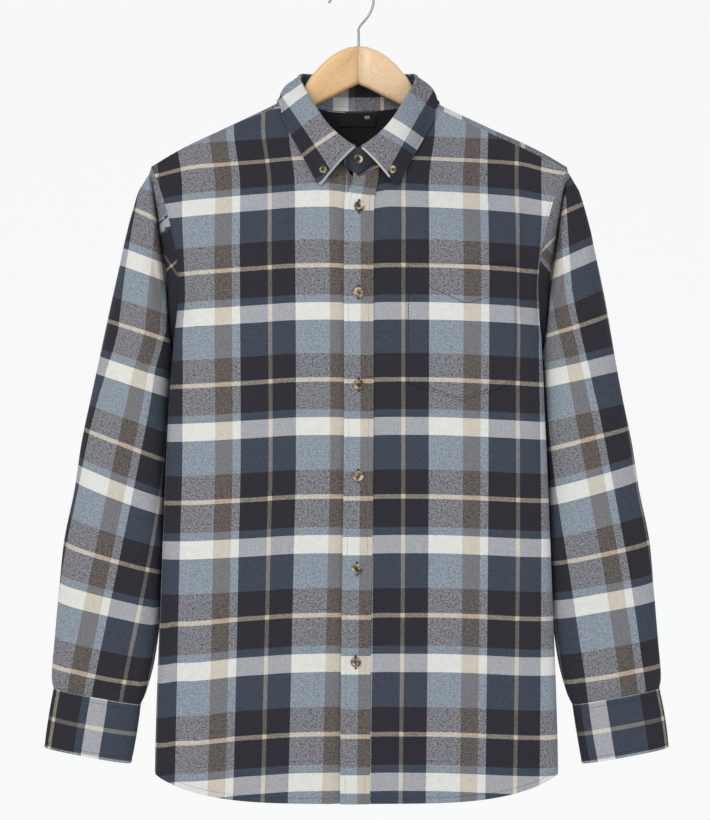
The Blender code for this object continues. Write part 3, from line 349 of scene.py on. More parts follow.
def sewStitches(name, lines, material, size=stitch):
    facets = 6
    sections = ((-0.5, 0.35), (-0.30, 1.0), (0.30, 1.0), (0.5, 0.35))
    unit = []
    for along, thick in sections:
        for k in range(facets):
            turn = 2 * math.pi * k / facets
            unit.append((along * size["length"], math.cos(turn) * size["width"] / 2 * thick,
                         math.sin(turn) * size["height"] * thick * 0.6 + size["height"] * (thick - 0.75)))
    unit = np.array(unit)
    unitFaces = []
    for s in range(len(sections) - 1):
        for k in range(facets):
            here, following = s * facets + k, s * facets + (k + 1) % facets
            unitFaces.append((here, here + facets, following + facets, following))
    vertices, faces = [], []
    total = 0
    for line, normals in lines:
        place, out, tangent = spread(line, normals, size["pitch"])
        tangent /= np.maximum(np.linalg.norm(tangent, axis=1, keepdims=True), 1e-12)
        out /= np.maximum(np.linalg.norm(out, axis=1, keepdims=True), 1e-12)
        aside = np.cross(out, tangent)
        made = (place[:, None] + unit[None, :, :1] * tangent[:, None] + unit[None, :, 1:2] * aside[:, None]
                + unit[None, :, 2:] * out[:, None])
        vertices.append(made.reshape(-1, 3))
        starts = total + np.arange(len(place)) * len(unit)
        faces.append((starts[:, None, None] + np.array(unitFaces)[None]).reshape(-1, 4))
        total += len(place) * len(unit)
    vertices, faces = np.concatenate(vertices), np.concatenate(faces)
    ends = []
    for start in range(0, total, len(unit)):
        ends.append([start + k for k in range(facets)])
        ends.append([start + 3 * facets + k for k in range(facets)][::-1])
    mesh = bpy.data.meshes.new(name)
    mesh.from_pydata(vertices.tolist(), [], faces.tolist() + ends)
    mesh.materials.append(material)
    mesh.shade_smooth()
    mesh.set_sharp_from_angle(angle=math.radians(70))
    piece = newObject(name, mesh)
    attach(piece, "root")
    print("  %s: %d stitches" % (name, total // len(unit)))
    return piece


# A line across a grid at one fractional column, or along it at one fractional row
def columnLine(points, normals, column, firstRow=0, lastRow=None):
    k = int(min(math.floor(column), points.shape[1] - 2))
    t = column - k
    rows = slice(firstRow, lastRow)
    return mix(points[rows, k], points[rows, k + 1], t), mix(normals[rows, k], normals[rows, k + 1], t)


def rowLine(points, normals, row, firstColumn=0, lastColumn=None):
    k = int(min(math.floor(row), points.shape[0] - 2))
    t = row - k
    columns = slice(firstColumn, lastColumn)
    line = mix(points[k, columns], points[k + 1, columns], t)
    return line, mix(normals[k, columns], normals[k + 1, columns], t)


# Materials

class Wire:
    def __init__(self, finish, socket):
        self.finish = finish
        self.socket = socket

    def maths(self, operation, *values):
        return self.finish.add("ShaderNodeMath", {"operation": operation}, values)

    def __add__(self, other):
        return self.maths("ADD", self, other)

    def __radd__(self, other):
        return self.maths("ADD", other, self)

    def __sub__(self, other):
        return self.maths("SUBTRACT", self, other)

    def __rsub__(self, other):
        return self.maths("SUBTRACT", other, self)

    def __mul__(self, other):
        return self.maths("MULTIPLY", self, other)

    def __lt__(self, other):
        return self.maths("LESS_THAN", self, other)

    def __gt__(self, other):
        return self.maths("GREATER_THAN", self, other)

    def fraction(self):
        return self.maths("FRACT", self)

    def sine(self):
        return self.maths("SINE", self)


class Finish:
    def __init__(self, name):
        self.material = bpy.data.materials.new(name)
        self.material.use_nodes = True
        self.tree = self.material.node_tree
        self.shader = self.tree.nodes["Principled BSDF"]

    def add(self, kind, settings=None, values=(), output=0):
        node = self.tree.nodes.new(kind)
        for name, value in (settings or {}).items():
            if name == "stops":
                ramp = node.color_ramp
                for n, (place, colour) in enumerate(value):
                    stop = ramp.elements[n] if n < 2 else ramp.elements.new(place)
                    stop.position = place
                    stop.color = colour
            elif name == "steps":
                node.color_ramp.interpolation = value
            else:
                setattr(node, name, value)
        for key, value in (values.items() if isinstance(values, dict) else enumerate(values)):
            self.plug(node.inputs[key], value)
        return Wire(self, node.outputs[output])

    def plug(self, socket, value):
        if isinstance(value, Wire):
            self.tree.links.new(value.socket, socket)
        else:
            socket.default_value = value

    def blend(self, share, a, b):
        settings = {"data_type": "RGBA"}
        return self.add("ShaderNodeMix", settings, {0: share, 6: a, 7: b}, output=2)

    def scaled(self, colour, factor):
        colour = colour if isinstance(colour, Wire) else colour[:3]
        return self.add("ShaderNodeVectorMath", {"operation": "SCALE"}, {0: colour, 3: factor})

    def smoothed(self, value, low, high, first, last):
        settings = {"interpolation_type": "SMOOTHSTEP"}
        return self.add("ShaderNodeMapRange", settings, (value, low, high, first, last))

    def objectPlace(self):
        return self.add("ShaderNodeTexCoord", output=3)

    def noise(self, place, scale, detail=2.0, roughness=0.5):
        values = {"Vector": place, "Scale": scale, "Detail": detail, "Roughness": roughness}
        return self.add("ShaderNodeTexNoise", {}, values)

    def bump(self, height, strength, distance):
        values = {"Height": height, "Strength": strength, "Distance": distance}
        return self.add("ShaderNodeBump", {}, values)

    def fill(self, **values):
        for name, value in values.items():
            self.plug(self.shader.inputs[name.replace("_", " ")], value)
        return self.material


def tone(red, green, blue, alpha=1.0):
    linear = [(v / 12.92 if v <= 0.04045 else ((v + 0.055) / 1.055) ** 2.4) for v in
              (red / 255, green / 255, blue / 255)]
    return (*linear, alpha)


flannel = {
    "warpRepeat": 0.1294,
    "weftRepeat": 0.1336,
    "stray": 0.0045,            # how far the yarns wander, in repeats
    "fleckScale": 0.56,
    "blotchScale": 0.30,
    "cloudScale": 0.14,
    "napScale": 1.9,
    "twill": 5.2,
    # widths of the bands in a repeat, across and down
    "warp": (("light", 34), ("taupe", 18), ("light", 8), ("dark", 28), ("tan", 4), ("dark", 24)),
    "weft": (("white", 18.3), ("steel", 35), ("dark", 25), ("tan", 4.5), ("dark", 28.5), ("steel", 8)),
    # colour where each warp crosses each weft, and how mottled it is
    "crossings": {
        "white": {"light": (224, 224, 218, 0.10), "taupe": (205, 198, 184, 0.14),
                  "dark": (167, 168, 173, 0.30), "tan": (208, 202, 188, 0.20)},
        "steel": {"light": (141, 151, 160, 0.55), "taupe": (120, 120, 124, 0.35),
                  "dark": (66, 73, 84, 0.40), "tan": (122, 121, 124, 0.35)},
        "dark": {"light": (126, 126, 131, 1.0), "taupe": (98, 92, 88, 0.85),
                 "dark": (49, 48, 55, 0.30), "tan": (100, 95, 91, 0.60)},
        "tan": {"light": (200, 191, 178, 0.40), "taupe": (182, 164, 146, 0.40),
                "dark": (134, 126, 115, 0.70), "tan": (204, 186, 164, 0.30)},
    },
}


def bandEdges(bands):
    widths = np.array([width for _, width in bands])
    return np.concatenate([[0], np.cumsum(widths)]) / widths.sum()


warpEdges = bandEdges(flannel["warp"])
weftEdges = bandEdges(flannel["weft"])
tanAt = (warpEdges[4] + warpEdges[5]) / 2      # middle of the tan line, in repeats
taupeAt = warpEdges[1]


def flannelFinish():
    made = Finish("brushed plaid flannel")
    weave = made.add("ShaderNodeUVMap", {"uv_map": "weave"})
    apart = made.add("ShaderNodeSeparateXYZ", {}, (weave,))
    u, v = apart, Wire(made, apart.socket.node.outputs[1])
    across = u * (flannel["warpRepeat"] * 1000)        # millimetres of cloth
    down = v * (flannel["weftRepeat"] * 1000)
    place = made.add("ShaderNodeCombineXYZ", {}, (across, down, 0.0))
    grain = made.add("ShaderNodeCombineXYZ", {}, (across * 0.80, down, 0.0))
    stray = (made.noise(place, 0.9, 1.0) - 0.5) * flannel["stray"]
    yarnU, yarnV = (u + stray).fraction(), (v + stray).fraction()
    mixed = {}
    for weft, crossings in flannel["crossings"].items():
        stops = [(float(edge), tone(*crossings[warp][:3], alpha=crossings[warp][3]))
                 for edge, (warp, _) in zip(warpEdges, flannel["warp"])]
        settings = {"stops": stops, "steps": "CONSTANT"}
        colour = made.add("ShaderNodeValToRGB", settings, (yarnU,))
        mixed[weft] = (colour, Wire(made, colour.socket.node.outputs[1]))
    isWhite = yarnV < float(weftEdges[1])
    isSteel = (yarnV < float(weftEdges[2])) * (1 - isWhite) + (yarnV > float(weftEdges[5]))
    isTan = (yarnV > float(weftEdges[3])) * (yarnV < float(weftEdges[4]))
    colour, mottling = mixed["dark"]
    for name, mask in (("tan", isTan), ("steel", isSteel), ("white", isWhite)):
        colour = made.blend(mask, colour, mixed[name][0])
        mottling = mottling + (mixed[name][1] - mottling) * mask
    fleck = made.noise(grain, flannel["fleckScale"], 3.0, 0.62)
    blotch = made.noise(grain, flannel["blotchScale"], 2.0, 0.60)
    spots = made.smoothed(blotch, 0.50, 0.72, 0.0, 1.0)
    cloud = made.noise(place, flannel["cloudScale"], 2.0, 0.5)
    sharp = made.smoothed(fleck, 0.30, 0.70, -1.0, 1.0)
    shade = 1.02 + (sharp * 0.50 - spots * 0.36) * mottling + (cloud - 0.5) * 0.20
    twill = ((across + down) * flannel["twill"]).sine()
    nap = made.noise(place, flannel["napScale"], 2.0, 0.6)
    height = twill * 0.18 + nap + fleck * 0.6
    return made.fill(
        Base_Color=made.scaled(colour, shade),
        Roughness=0.86 + (nap - 0.5) * 0.16,
        Normal=made.bump(height, 0.32, 0.0005),
        Sheen_Weight=0.07, Sheen_Roughness=0.45, Sheen_Tint=(0.86, 0.90, 1.0, 1.0),
        Specular_IOR_Level=0.08)


def plainCloth(name, colour, scale, sheen):
    made = Finish(name)
    place = made.objectPlace()
    thread = made.noise(place, scale, 3.0, 0.6)
    soft = made.noise(place, scale / 9, 2.0)
    shade = 0.80 + thread * 0.30 + soft * 0.12
    return made.fill(Base_Color=made.scaled(colour, shade), Roughness=0.80 + thread * 0.15,
                     Normal=made.bump(thread, 0.3, 0.0004), Sheen_Weight=sheen)


def hornFinish():
    made = Finish("marbled horn")
    place = made.objectPlace()
    swirl = made.noise(place, 130.0, 2.0, 0.55)
    veins = made.noise(place, 520.0, 2.0, 0.6)
    stops = [(0.38, tone(44, 36, 28)), (0.46, tone(94, 80, 60)), (0.54, tone(156, 138, 108)),
             (0.62, tone(212, 202, 176))]
    colour = made.add("ShaderNodeValToRGB", {"stops": stops}, (swirl * 0.85 + veins * 0.15,))
    return made.fill(Base_Color=colour, Roughness=0.26 + (veins - 0.5) * 0.14, Coat_Weight=0.25,
                     Coat_Roughness=0.15, Normal=made.bump(veins, 0.05, 0.0002))


# The grain of each half climbs towards the join
def woodFinish(name, climb, light, deep):
    made = Finish(name)
    turned = made.add("ShaderNodeMapping", {}, {0: made.objectPlace(), 2: (0.0, climb, 0.0)})
    stretched = made.add("ShaderNodeMapping", {}, {0: turned, 3: (1.0, 1.0, 8.0)})
    rings = made.noise(stretched, 26.0, 2.0, 0.5)
    grain = ((rings * 60.0).sine() + 1) * 0.5
    fine = made.add("ShaderNodeMapping", {}, {0: turned, 3: (40.0, 240.0, 420.0)})
    pores = made.noise(fine, 1.6, 2.0, 0.6)
    colour = made.blend(0.15 + grain * 0.35 + pores * 0.20, tone(*light), tone(*deep))
    return made.fill(Base_Color=colour, Roughness=0.34 + pores * 0.16, Coat_Weight=0.18, Coat_Roughness=0.2,
                     Normal=made.bump(pores, 0.10, 0.0004))


def steelFinish():
    made = Finish("bright steel wire")
    rubbed = made.noise(made.objectPlace(), 700.0, 3.0, 0.6)
    colour = made.blend(rubbed, tone(158, 159, 162), tone(138, 139, 144))
    return made.fill(Base_Color=colour, Metallic=1.0, Roughness=0.20 + rubbed * 0.16,
                     Normal=made.bump(rubbed, 0.06, 0.0002))


cloths = {
    "flannel": flannelFinish(),
    "lining": plainCloth("black yoke lining", (0.008, 0.008, 0.008, 1), 900.0, 0.04),
    "tape": plainCloth("woven label tape", (0.010, 0.010, 0.012, 1), 1400.0, 0.05),
    "tab": plainCloth("pale woven tab", (0.34, 0.34, 0.30, 1), 1500.0, 0.15),
    # the navy thread is darkened near black: partly its own colour, partly painted shade of the groove it is
    # sewn in
    "thread": plainCloth("navy sewing thread", (0.016, 0.018, 0.026, 1), 2500.0, 0.05),
    "paleThread": plainCloth("grey sewing thread", (0.20, 0.20, 0.21, 1), 2500.0, 0.05),
    "brownThread": plainCloth("brown button thread", (0.055, 0.046, 0.034, 1), 2500.0, 0.05),
}
print("materials made")

# Where the plaid lies on the body
weftRows = (                    # height, repeats counted down from the first white band's top
    (-0.950, 5.355), (-0.9021, 5.0), (-0.7672, 4.0), (-0.6330, 3.0), (-0.5003, 2.0), (-0.3718, 1.0),
    (-0.2467, 0.0), (-0.1284, -1.0), (-0.050, -1.66),
)
droopRows = (                   # across, how much lower the bands hang there (mm)
    (-0.235, 9.0), (-0.180, 7.2), (-0.115, 3.6), (-0.070, 0.6), (0.0, 0.0), (0.090, 0.2), (0.130, 1.6),
    (0.165, 3.3), (0.205, 5.4), (0.235, 6.5),
)
shoulderDroopRows = (           # across, extra droop at the shoulder (mm)
    (-0.235, 10.0), (-0.222, 7.0), (-0.190, 0.2), (-0.150, -0.6), (-0.100, 0.0), (0.100, 0.0), (0.165, -1.0),
    (0.190, -0.4), (0.215, 4.5), (0.235, 8.0),
)
hemDroopRows = ((-0.235, 7.5), (-0.222, 6.6), (-0.204, 3.6), (-0.180, 3.0), (-0.118, 0.0), (0.235, 0.0))
rightTanRows = ((-0.940, -0.1068), (-0.883, -0.1050), (-0.640, -0.0992), (-0.543, -0.0970), (-0.280, -0.0977),
                (-0.200, -0.0985))
leftTanRows = ((-0.940, 0.0490), (-0.883, 0.0497), (-0.700, 0.0515), (-0.543, 0.0520), (-0.200, 0.0520))
placketTaupeRows = ((-0.940, 0.0002), (-0.883, 0.0005), (-0.543, 0.0036), (-0.240, 0.0040))
dip = {"depth": 0.0030, "centre": 0.004, "half": 0.024, "from": -0.350, "over": 0.085, "least": 0.15}


# The bands sag a little where the placket is buttoned, most at the top
def closingDip(across, height):
    high = mix(dip["least"], 1.0, ease((height - dip["from"]) / dip["over"]))
    return dip["depth"] * high * np.exp(-((across - dip["centre"]) / dip["half"]) ** 4)


def weftCount(across, height, droops=True):
    radius = shirt["ridgeRadius"]
    unrolled = ridgeHeight(across) + radius * (np.pi / 2 - 1) - runTo(across, height)
    if droops:
        sag = readTable(droopRows, 1, across)
        high = ease((unrolled + 0.300) / 0.085)
        sag = sag + readTable(shoulderDroopRows, 1, across) * high
        sag = sag + readTable(hemDroopRows, 1, across) * ease((-0.690 - height) / 0.060)
        unrolled = unrolled + sag / 1000 + closingDip(across, height)
    return readTable(weftRows, 1, unrolled)


# Cloth that turns round the side is longer than it looks from the front
def sideLength(points):
    steps = np.diff(points[..., :2], axis=1)
    extra = np.hypot(steps[..., 0], steps[..., 1]) - np.abs(steps[..., 0])
    middle = np.abs(points[:, 1:, 0] + points[:, :-1, 0] - 2 * shirt["centre"]) / 2
    extra = extra * ease((middle - 0.165) / 0.025)
    way = np.sign(steps[..., 0])
    out = np.zeros(points.shape[:2])
    out[:, 1:] = np.cumsum(extra * np.where(way == 0, 1, way), axis=1)
    middleColumn = np.argmin(np.abs(points[:, :, 0] - shirt["centre"]), axis=1)
    return out - out[np.arange(len(out)), middleColumn][:, None]


def bodyWeave(points, tanRows):
    across, height = points[..., 0] - shirt["centre"], points[..., 2]
    high = ease((height + 0.253) / 0.085) ** 1.4
    outward = np.where(across < 0, -0.0085, 0.0085 * (1 - 0.75 * ease((across - 0.10) / 0.05)))
    fromTan = across + sideLength(points) - readTable(tanRows, 1, height) - outward * high
    return np.stack([tanAt + fromTan / flannel["warpRepeat"], weftCount(across, height)], axis=-1)


# Fronts
frontCreases = (                # from x, z to x, z, half width, depth, bow (all mm)
    (-190, -262, -186, -420, 9, -1.6, 3), (-172, -300, -178, -470, 11, 1.2, -4),
    (196, -250, 190, -400, 8, -1.8, -3), (180, -280, 184, -450, 11, 1.1, 4),
    (-34, -236, -30, -330, 5, -1.1, 1), (-22, -226, -20, -262, 3.5, -1.3, 0),
    (-42, -232, -40, -262, 4, 0.9, 1), (-30, -560, -34, -900, 8, -1.4, 3),
    (-62, -620, -70, -940, 16, 1.3, -5), (-120, -640, -128, -940, 22, -1.6, 6),
    (-180, -560, -186, -930, 18, 1.5, 5), (62, -640, 70, -940, 18, 1.2, 5),
    (122, -600, 132, -940, 24, -1.6, -6), (186, -540, 196, -930, 17, 1.4, 4),
    (-150, -214, -96, -262, 12, 0.8, 3), (150, -206, 104, -252, 12, 0.8, -3),
    (-206, -440, -120, -500, 16, -1.0, 8), (212, -440, 130, -506, 16, -1.0, -8),
    (60, -300, 150, -340, 18, 0.6, 4), (-60, -400, -150, -380, 20, 0.6, -4),
)
placketRows = (                 # height, the placket's middle
    (-0.940, -0.0020), (-0.880, -0.0018), (-0.743, -0.0006), (-0.543, 0.0022), (-0.274, 0.0027),
    (-0.220, 0.0060),
)
placket = {"width": 0.0330, "underlap": 0.0280, "step": 0.0090, "stitchIn": 0.0052, "columns": 27,
           # below the top edge, how much lower the bands lie on the left and right edge
           "eased": ((0.0, 0.0193, 0.0078), (0.0092, 0.0010, 0.0060), (0.0186, 0.0, 0.0045),
                     (0.034, 0.0, 0.0037), (0.060, 0.0006, 0.0012), (0.120, 0.0014, 0.0014),
                     (0.700, 0.0018, 0.0018))}
neckAndShoulder = np.array(neckColumns[1:] + shoulderColumns)
# coarse rows below the armpit, and up to the top of each piece, with their lengths
coarse = {"armpit": 11, "shoulder": 17, "frontTop": 19, "yokeTop": 7, "backTop": 16}
lowerRuns = [0.150] + [0.046] * (coarse["armpit"] - 1)
upperRun, overShoulder = 0.036, 0.010


def placketMiddle(height):
    return readTable(placketRows, 1, height)


def leftInner(height):
    middle = float(placketMiddle(height))
    return [middle + placket["width"] * share for share in (-0.49, 0.0, 0.5)] + list(neckAndShoulder)


def rightInner(height):
    end = -float(placketMiddle(height)) + placket["width"] / 2 + 0.003
    return [end - placket["underlap"], end, end + placket["step"]] + list(neckAndShoulder)


# Coarse rows as shares of the side's height: from the hem to the armpit, and on up
def rowShares(armpitShare, above):
    below = coarse["armpit"]
    lower = [armpitShare * j / below for j in range(below)]
    return lower + [mix(armpitShare, 1.0, j / above) for j in range(above + 1)]


# Rows run up from the hem; the last two coarse ones turn over the shoulder
def frontGrid(side, innerOf):
    sideHem = float(hemHeight(1.0, shirt["hemFront"]))
    sideTop = float(heightAtRun(shirt["shoulderHalf"], rollRun))
    topPlaces = columnPlaces(sideTop, shirt["shoulderHalf"], innerOf(shirt["neckFront"]))
    middlePlaces = columnPlaces(-0.6, halfWidth(-0.6), innerOf(-0.6))
    columns = fineSteps(np.maximum(np.diff(middlePlaces), np.diff(topPlaces)), shirt["cell"])
    above, beyond = coarse["shoulder"] - coarse["armpit"], coarse["frontTop"] - coarse["shoulder"]
    armpitShare = (shirt["armpit"] - sideHem) / (sideTop - sideHem)
    shares = rowShares(armpitShare, above) + [1.0] * beyond
    rows = fineSteps(lowerRuns + [upperRun] * above + [overShoulder] * beyond, shirt["cell"])
    topAcross = between(columns, topPlaces)
    inNeck = topAcross < shirt["neckHalf"] - 0.0001
    grid = []
    for row in rows:
        share = float(between(row, shares))
        turned = max(row - coarse["shoulder"], 0.0) / beyond
        edgeHeight = mix(sideHem, sideTop, share)
        width = mix(float(halfWidth(edgeHeight)), shirt["shoulderHalf"], turned)
        places = columnPlaces(edgeHeight, width, innerOf(mix(shirt["hemFront"], shirt["neckFront"], share)))
        across = between(columns, places)
        overSeam = heightAtRun(topAcross, mix(rollRun, seamForward(side * topAcross), turned))
        top = np.where(inNeck, neckline(side * topAcross) - 0.0080 * (1.0 - turned), overSeam)
        height = mix(hemHeight(across / width, shirt["hemFront"]), top, share)
        line = frontPoint(side * across, height, width=width)
        if side < 0:
            step = np.clip((places[2] - across) / (places[2] - places[1]), 0.0, 1.0)
            line[:, 1] += ease(step) * (shirt["cloth"] + 2 * gap)
        grid.append(line[::side])
    return {"points": np.array(grid), "rows": rows, "columns": columns[::side]}


# Creases and waves of a body piece, calm along its sides
def bodyLift(points, creases, amount, seed):
    across = np.abs(points[..., 0] - shirt["centre"])
    atSide = ease((halfWidth(points[..., 2]) * 1.004 - across) / 0.016)
    return (creaseLift(points, creases) + softWaves(points, amount, seed)) * atSide


def frontLift(points):
    across = np.abs(points[..., 0] - shirt["centre"])
    atTop = ease((ridgeHeight(across) - 0.012 - points[..., 2]) / 0.030)
    return bodyLift(points, frontCreases, 0.55, 1.0) * atTop


def liftGrid(grid, lift):
    grid["points"] = grid["points"] + gridNormals(grid["points"]) * lift[..., None]


left = frontGrid(1, leftInner)
right = frontGrid(-1, rightInner)
leftWeave = bodyWeave(left["points"], leftTanRows)
rightWeave = bodyWeave(right["points"], rightTanRows)
for front in (left, right):
    liftGrid(front, frontLift(front["points"]))
frontLeft = flannelPiece("shirt_front_left", left["points"], leftWeave)
frontRight = flannelPiece("shirt_front_right", right["points"], rightWeave)
print("fronts made")

# Yoke and back
yokeSizes = {"seamHeight": -0.240, "seamDrop": 0.022, "neckStrip": 0.0040, "liningHalf": 0.170,
             "liningTop": 6.6, "liningLift": 0.002, "liningCloth": 0.0010}
backCreases = (                 # as for the fronts
    (-186, -258, -180, -430, 10, -1.6, 3), (190, -256, 186, -420, 10, -1.6, -3),
    (-60, -262, -74, -520, 16, 1.4, 6), (66, -262, 82, -540, 16, 1.4, -6), (0, -262, 4, -480, 12, -1.2, 3),
    (-120, -560, -132, -930, 24, -1.8, 8), (124, -560, 138, -930, 24, -1.8, -8),
    (-40, -620, -44, -940, 18, 1.4, 4), (52, -600, 58, -940, 18, -1.3, 5),
    (-196, -520, -200, -930, 14, 1.5, 5), (200, -520, 206, -930, 14, 1.5, -5),
    (-206, -440, -110, -520, 16, -1.1, 9), (210, -440, 118, -524, 16, -1.1, -9),
)


def yokeSeam(across):
    return yokeSizes["seamHeight"] - yokeSizes["seamDrop"] * (across / shirt["shoulderHalf"]) ** 2


def halfPlaces(outer):
    half = list(neckColumns + shoulderColumns) + [float(x) for x in outer]
    return np.array(half[::-1] + [0.0] + [-x for x in half])


yokePlaces = halfPlaces(armholeTurn * shirt["shoulderHalf"])
yokeColumns = fineSteps(-np.diff(yokePlaces), shirt["cell"])
yokeRows = fineSteps([0.022] * 4 + [0.009] * 3, 0.0030)


def yokeGrid():
    across = between(yokeColumns, yokePlaces)
    inNeck = np.abs(across) < shirt["neckHalf"] - 0.0001
    bottom = -runTo(across, yokeSeam(across))
    top = np.where(inNeck, -runTo(across, backNeckline(across)), seamForward(across) - gap)
    turned = np.where(inNeck, top - yokeSizes["neckStrip"], -rollRun)
    grid = []
    for row in yokeRows:
        run = mix(bottom, turned, row / 4) if row <= 4 else mix(turned, top, (row - 4) / 3)
        height = heightAtRun(across, run)
        narrow = 1.0 - halfWidth(height) / shirt["shoulderHalf"]
        inward = across * (1.0 - narrow * (across / shirt["shoulderHalf"]) ** 2)
        behind = backPoint(inward, height)
        before = frontPoint(across, height)
        grid.append(np.where((run < 0)[:, None], behind, before))
    return {"points": np.array(grid), "rows": yokeRows, "columns": yokeColumns}


def backGrid(yoke):
    sideHem = float(hemHeight(1.0, shirt["hemBack"]))
    topRow = yoke["points"][0] - np.array((0, 0, gap))
    sideTop = float(topRow[0, 2])
    armpitShare = (shirt["armpit"] - sideHem) / (sideTop - sideHem)
    above = coarse["backTop"] - coarse["armpit"]
    shares = rowShares(armpitShare, above)
    rows = fineSteps(lowerRuns + [upperRun] * above, shirt["cell"])
    grid = []
    for row in rows[:-1]:
        share = float(between(row, shares))
        edgeHeight = mix(sideHem, sideTop, share)
        width = float(halfWidth(edgeHeight))
        places = halfPlaces(width * mix(sideTurn, armholeTurn, aboveArmpit(edgeHeight)))
        across = between(yokeColumns, places)
        height = mix(hemHeight(across / width, shirt["hemBack"]), yokeSeam(across) - gap, share)
        grid.append(backPoint(across, height, width=width))
    grid.append(topRow)
    return {"points": np.array(grid), "rows": rows, "columns": yokeColumns}


yoke = yokeGrid()
back = backGrid(yoke)


def backLift(points):
    across = np.abs(points[..., 0] - shirt["centre"])
    return bodyLift(points, backCreases, 0.6, 4.0) * ease((yokeSeam(across) - points[..., 2]) / 0.025)


# The yoke's stripes run across, so its weave is turned a quarter
def yokeWeave(points):
    across = points[..., 0] - shirt["centre"]
    run = np.concatenate([np.zeros((1, points.shape[1])),
                          np.cumsum(np.linalg.norm(np.diff(points, axis=0), axis=-1), axis=0)])
    outer = np.abs(across[-1]) > shirt["neckHalf"]
    run = run - np.interp(-across[-1], -across[-1][outer], run[-1][outer])[None]
    v = np.minimum((across - 0.100) / flannel["weftRepeat"], 0.90)
    return np.stack([0.15 + run / flannel["warpRepeat"], v], axis=-1)


backWeave = bodyWeave(back["points"], ((-0.95, 0.0), (-0.05, 0.0)))
liftGrid(back, backLift(back["points"]))
backPiece = flannelPiece("shirt_back", back["points"], backWeave)
yokePiece = flannelPiece("shirt_yoke", yoke["points"], yokeWeave(yoke["points"]))

yokeNormals = gridNormals(yoke["points"])
nearNeck = np.abs(yoke["points"][0, :, 0] - shirt["centre"]) < yokeSizes["liningHalf"]
belowTop = yoke["rows"] <= yokeSizes["liningTop"]
liningPoints = (yoke["points"] - yokeNormals * (shirt["cloth"] + 2 * gap))[belowTop][:, nearNeck]
liningPoints[0, :, 2] += yokeSizes["liningLift"]
clothPiece("yoke_lining_cloth", liningPoints, np.zeros((*liningPoints.shape[:2], 2)),
           yokeSizes["liningCloth"], cloths["lining"])

label = {"top": -0.1525, "drop": 0.0115, "half": 0.022, "cloth": 0.0006, "clear": 0.0006,
         "tabTop": 0.0002, "tabDrop": 0.0034, "tabHalf": 0.0026, "tabAt": 0.0122, "tabClear": 0.0013,
         "rows": 7, "columns": 23, "stitchRow": 5.4, "stitchIn": 0.0001}


# A small sheet inside the back neck, a little wavy along its loose lower edge
def labelSheet(low, high, centre, half, inside):
    heights = np.linspace(low, high, label["rows"])[:, None]
    across = np.linspace(centre + half, centre - half, label["columns"])[None]
    depth = -(shirt["cloth"] + yokeSizes["liningCloth"] + 4 * gap + inside)
    wave = 0.0003 * np.sin(np.linspace(0, 9, label["columns"]))[None]
    wave = wave * np.linspace(1, 0, label["rows"])[:, None]
    return backPoint(across + 0 * heights, heights + 0 * across, out=depth - wave)


labelPoints = labelSheet(label["top"] - label["drop"], label["top"], 0.0, label["half"], label["clear"])
tabPoints = labelSheet(label["top"] - label["tabDrop"], label["top"] - label["tabTop"], label["tabAt"],
                       label["tabHalf"], label["tabClear"])
noWeave = np.zeros((label["rows"], label["columns"], 2))
labelPiece = clothPiece("neck_label_tape", labelPoints, noWeave, label["cloth"], cloths["tape"])
tabPiece = clothPiece("neck_label_tab", tabPoints, noWeave, label["cloth"], cloths["tab"])
print("back, yoke, lining and label made")

# Placket and pocket
leftNormals = gridNormals(left["points"])
underPlacket = left["columns"] <= 2.0001


def spreadColumns(grid, count):
    at = np.linspace(0, grid.shape[1] - 1, count)
    k = np.minimum(at.astype(int), grid.shape[1] - 2)
    return mix(grid[:, k], grid[:, k + 1], (at - k)[None, :, None])


def groove(distance, depth=0.00030, half=0.0010):
    return -depth * np.exp(-(distance / half) ** 2)


placketPoints = spreadColumns(left["points"][:, underPlacket], placket["columns"])
underNormals = spreadColumns(leftNormals[:, underPlacket], placket["columns"])
fromLeft = np.linspace(0, placket["width"], placket["columns"])[None, :]
ripple = 0.00022 * np.sin(placketPoints[..., 2] * 1000 / 3.1 + np.sin(placketPoints[..., 2] * 41))
inSeam = groove(fromLeft - placket["stitchIn"]) + groove(placket["width"] - fromLeft - placket["stitchIn"])
share = fromLeft / placket["width"]
crown = 0.0005 * np.sin(np.pi * share)
rise = shirt["cloth"] + gap + 0.0002 + inSeam + crown + ripple * np.exp(inSeam * 9000) * 0.6
placketPoints = placketPoints + underNormals * rise[..., None]
placketPoints[-1, :, 2] -= 0.0008
placketAcross = placketPoints[..., 0] - shirt["centre"]
placketHeight = placketPoints[..., 2].copy()
fromTop = placketHeight[-1:] - placketHeight
eased = mix(readTable(placket["eased"], 1, fromTop), readTable(placket["eased"], 2, fromTop), share)
placketHeight += np.maximum(eased, 0.0) + closingDip(0.0, placketHeight)
fromTaupe = placketAcross - readTable(placketTaupeRows, 1, placketPoints[..., 2])
placketV = weftCount(placketAcross * 0, placketHeight, droops=False)
placketWeave = np.stack([taupeAt + fromTaupe / flannel["warpRepeat"], placketV], axis=-1)
# near the collar the placket leans over to the wearer's left
placketPoints[..., 0] += ease((placketPoints[..., 2] + 0.262) / 0.030) * mix(0.0076, 0.0032, share)
placketPiece = flannelPiece("front_placket", placketPoints, placketWeave)

pocket = {"centre": 0.1170, "width": 0.1220, "top": -0.3300, "sideBottom": -0.4610, "point": -0.4810,
          "stitchIn": 0.0018, "columns": 62, "rows": 76,
          "flap": ((0.0, 0.0150), (0.55, 0.0378), (1.0, 0.0275))}      # stitching below the mouth

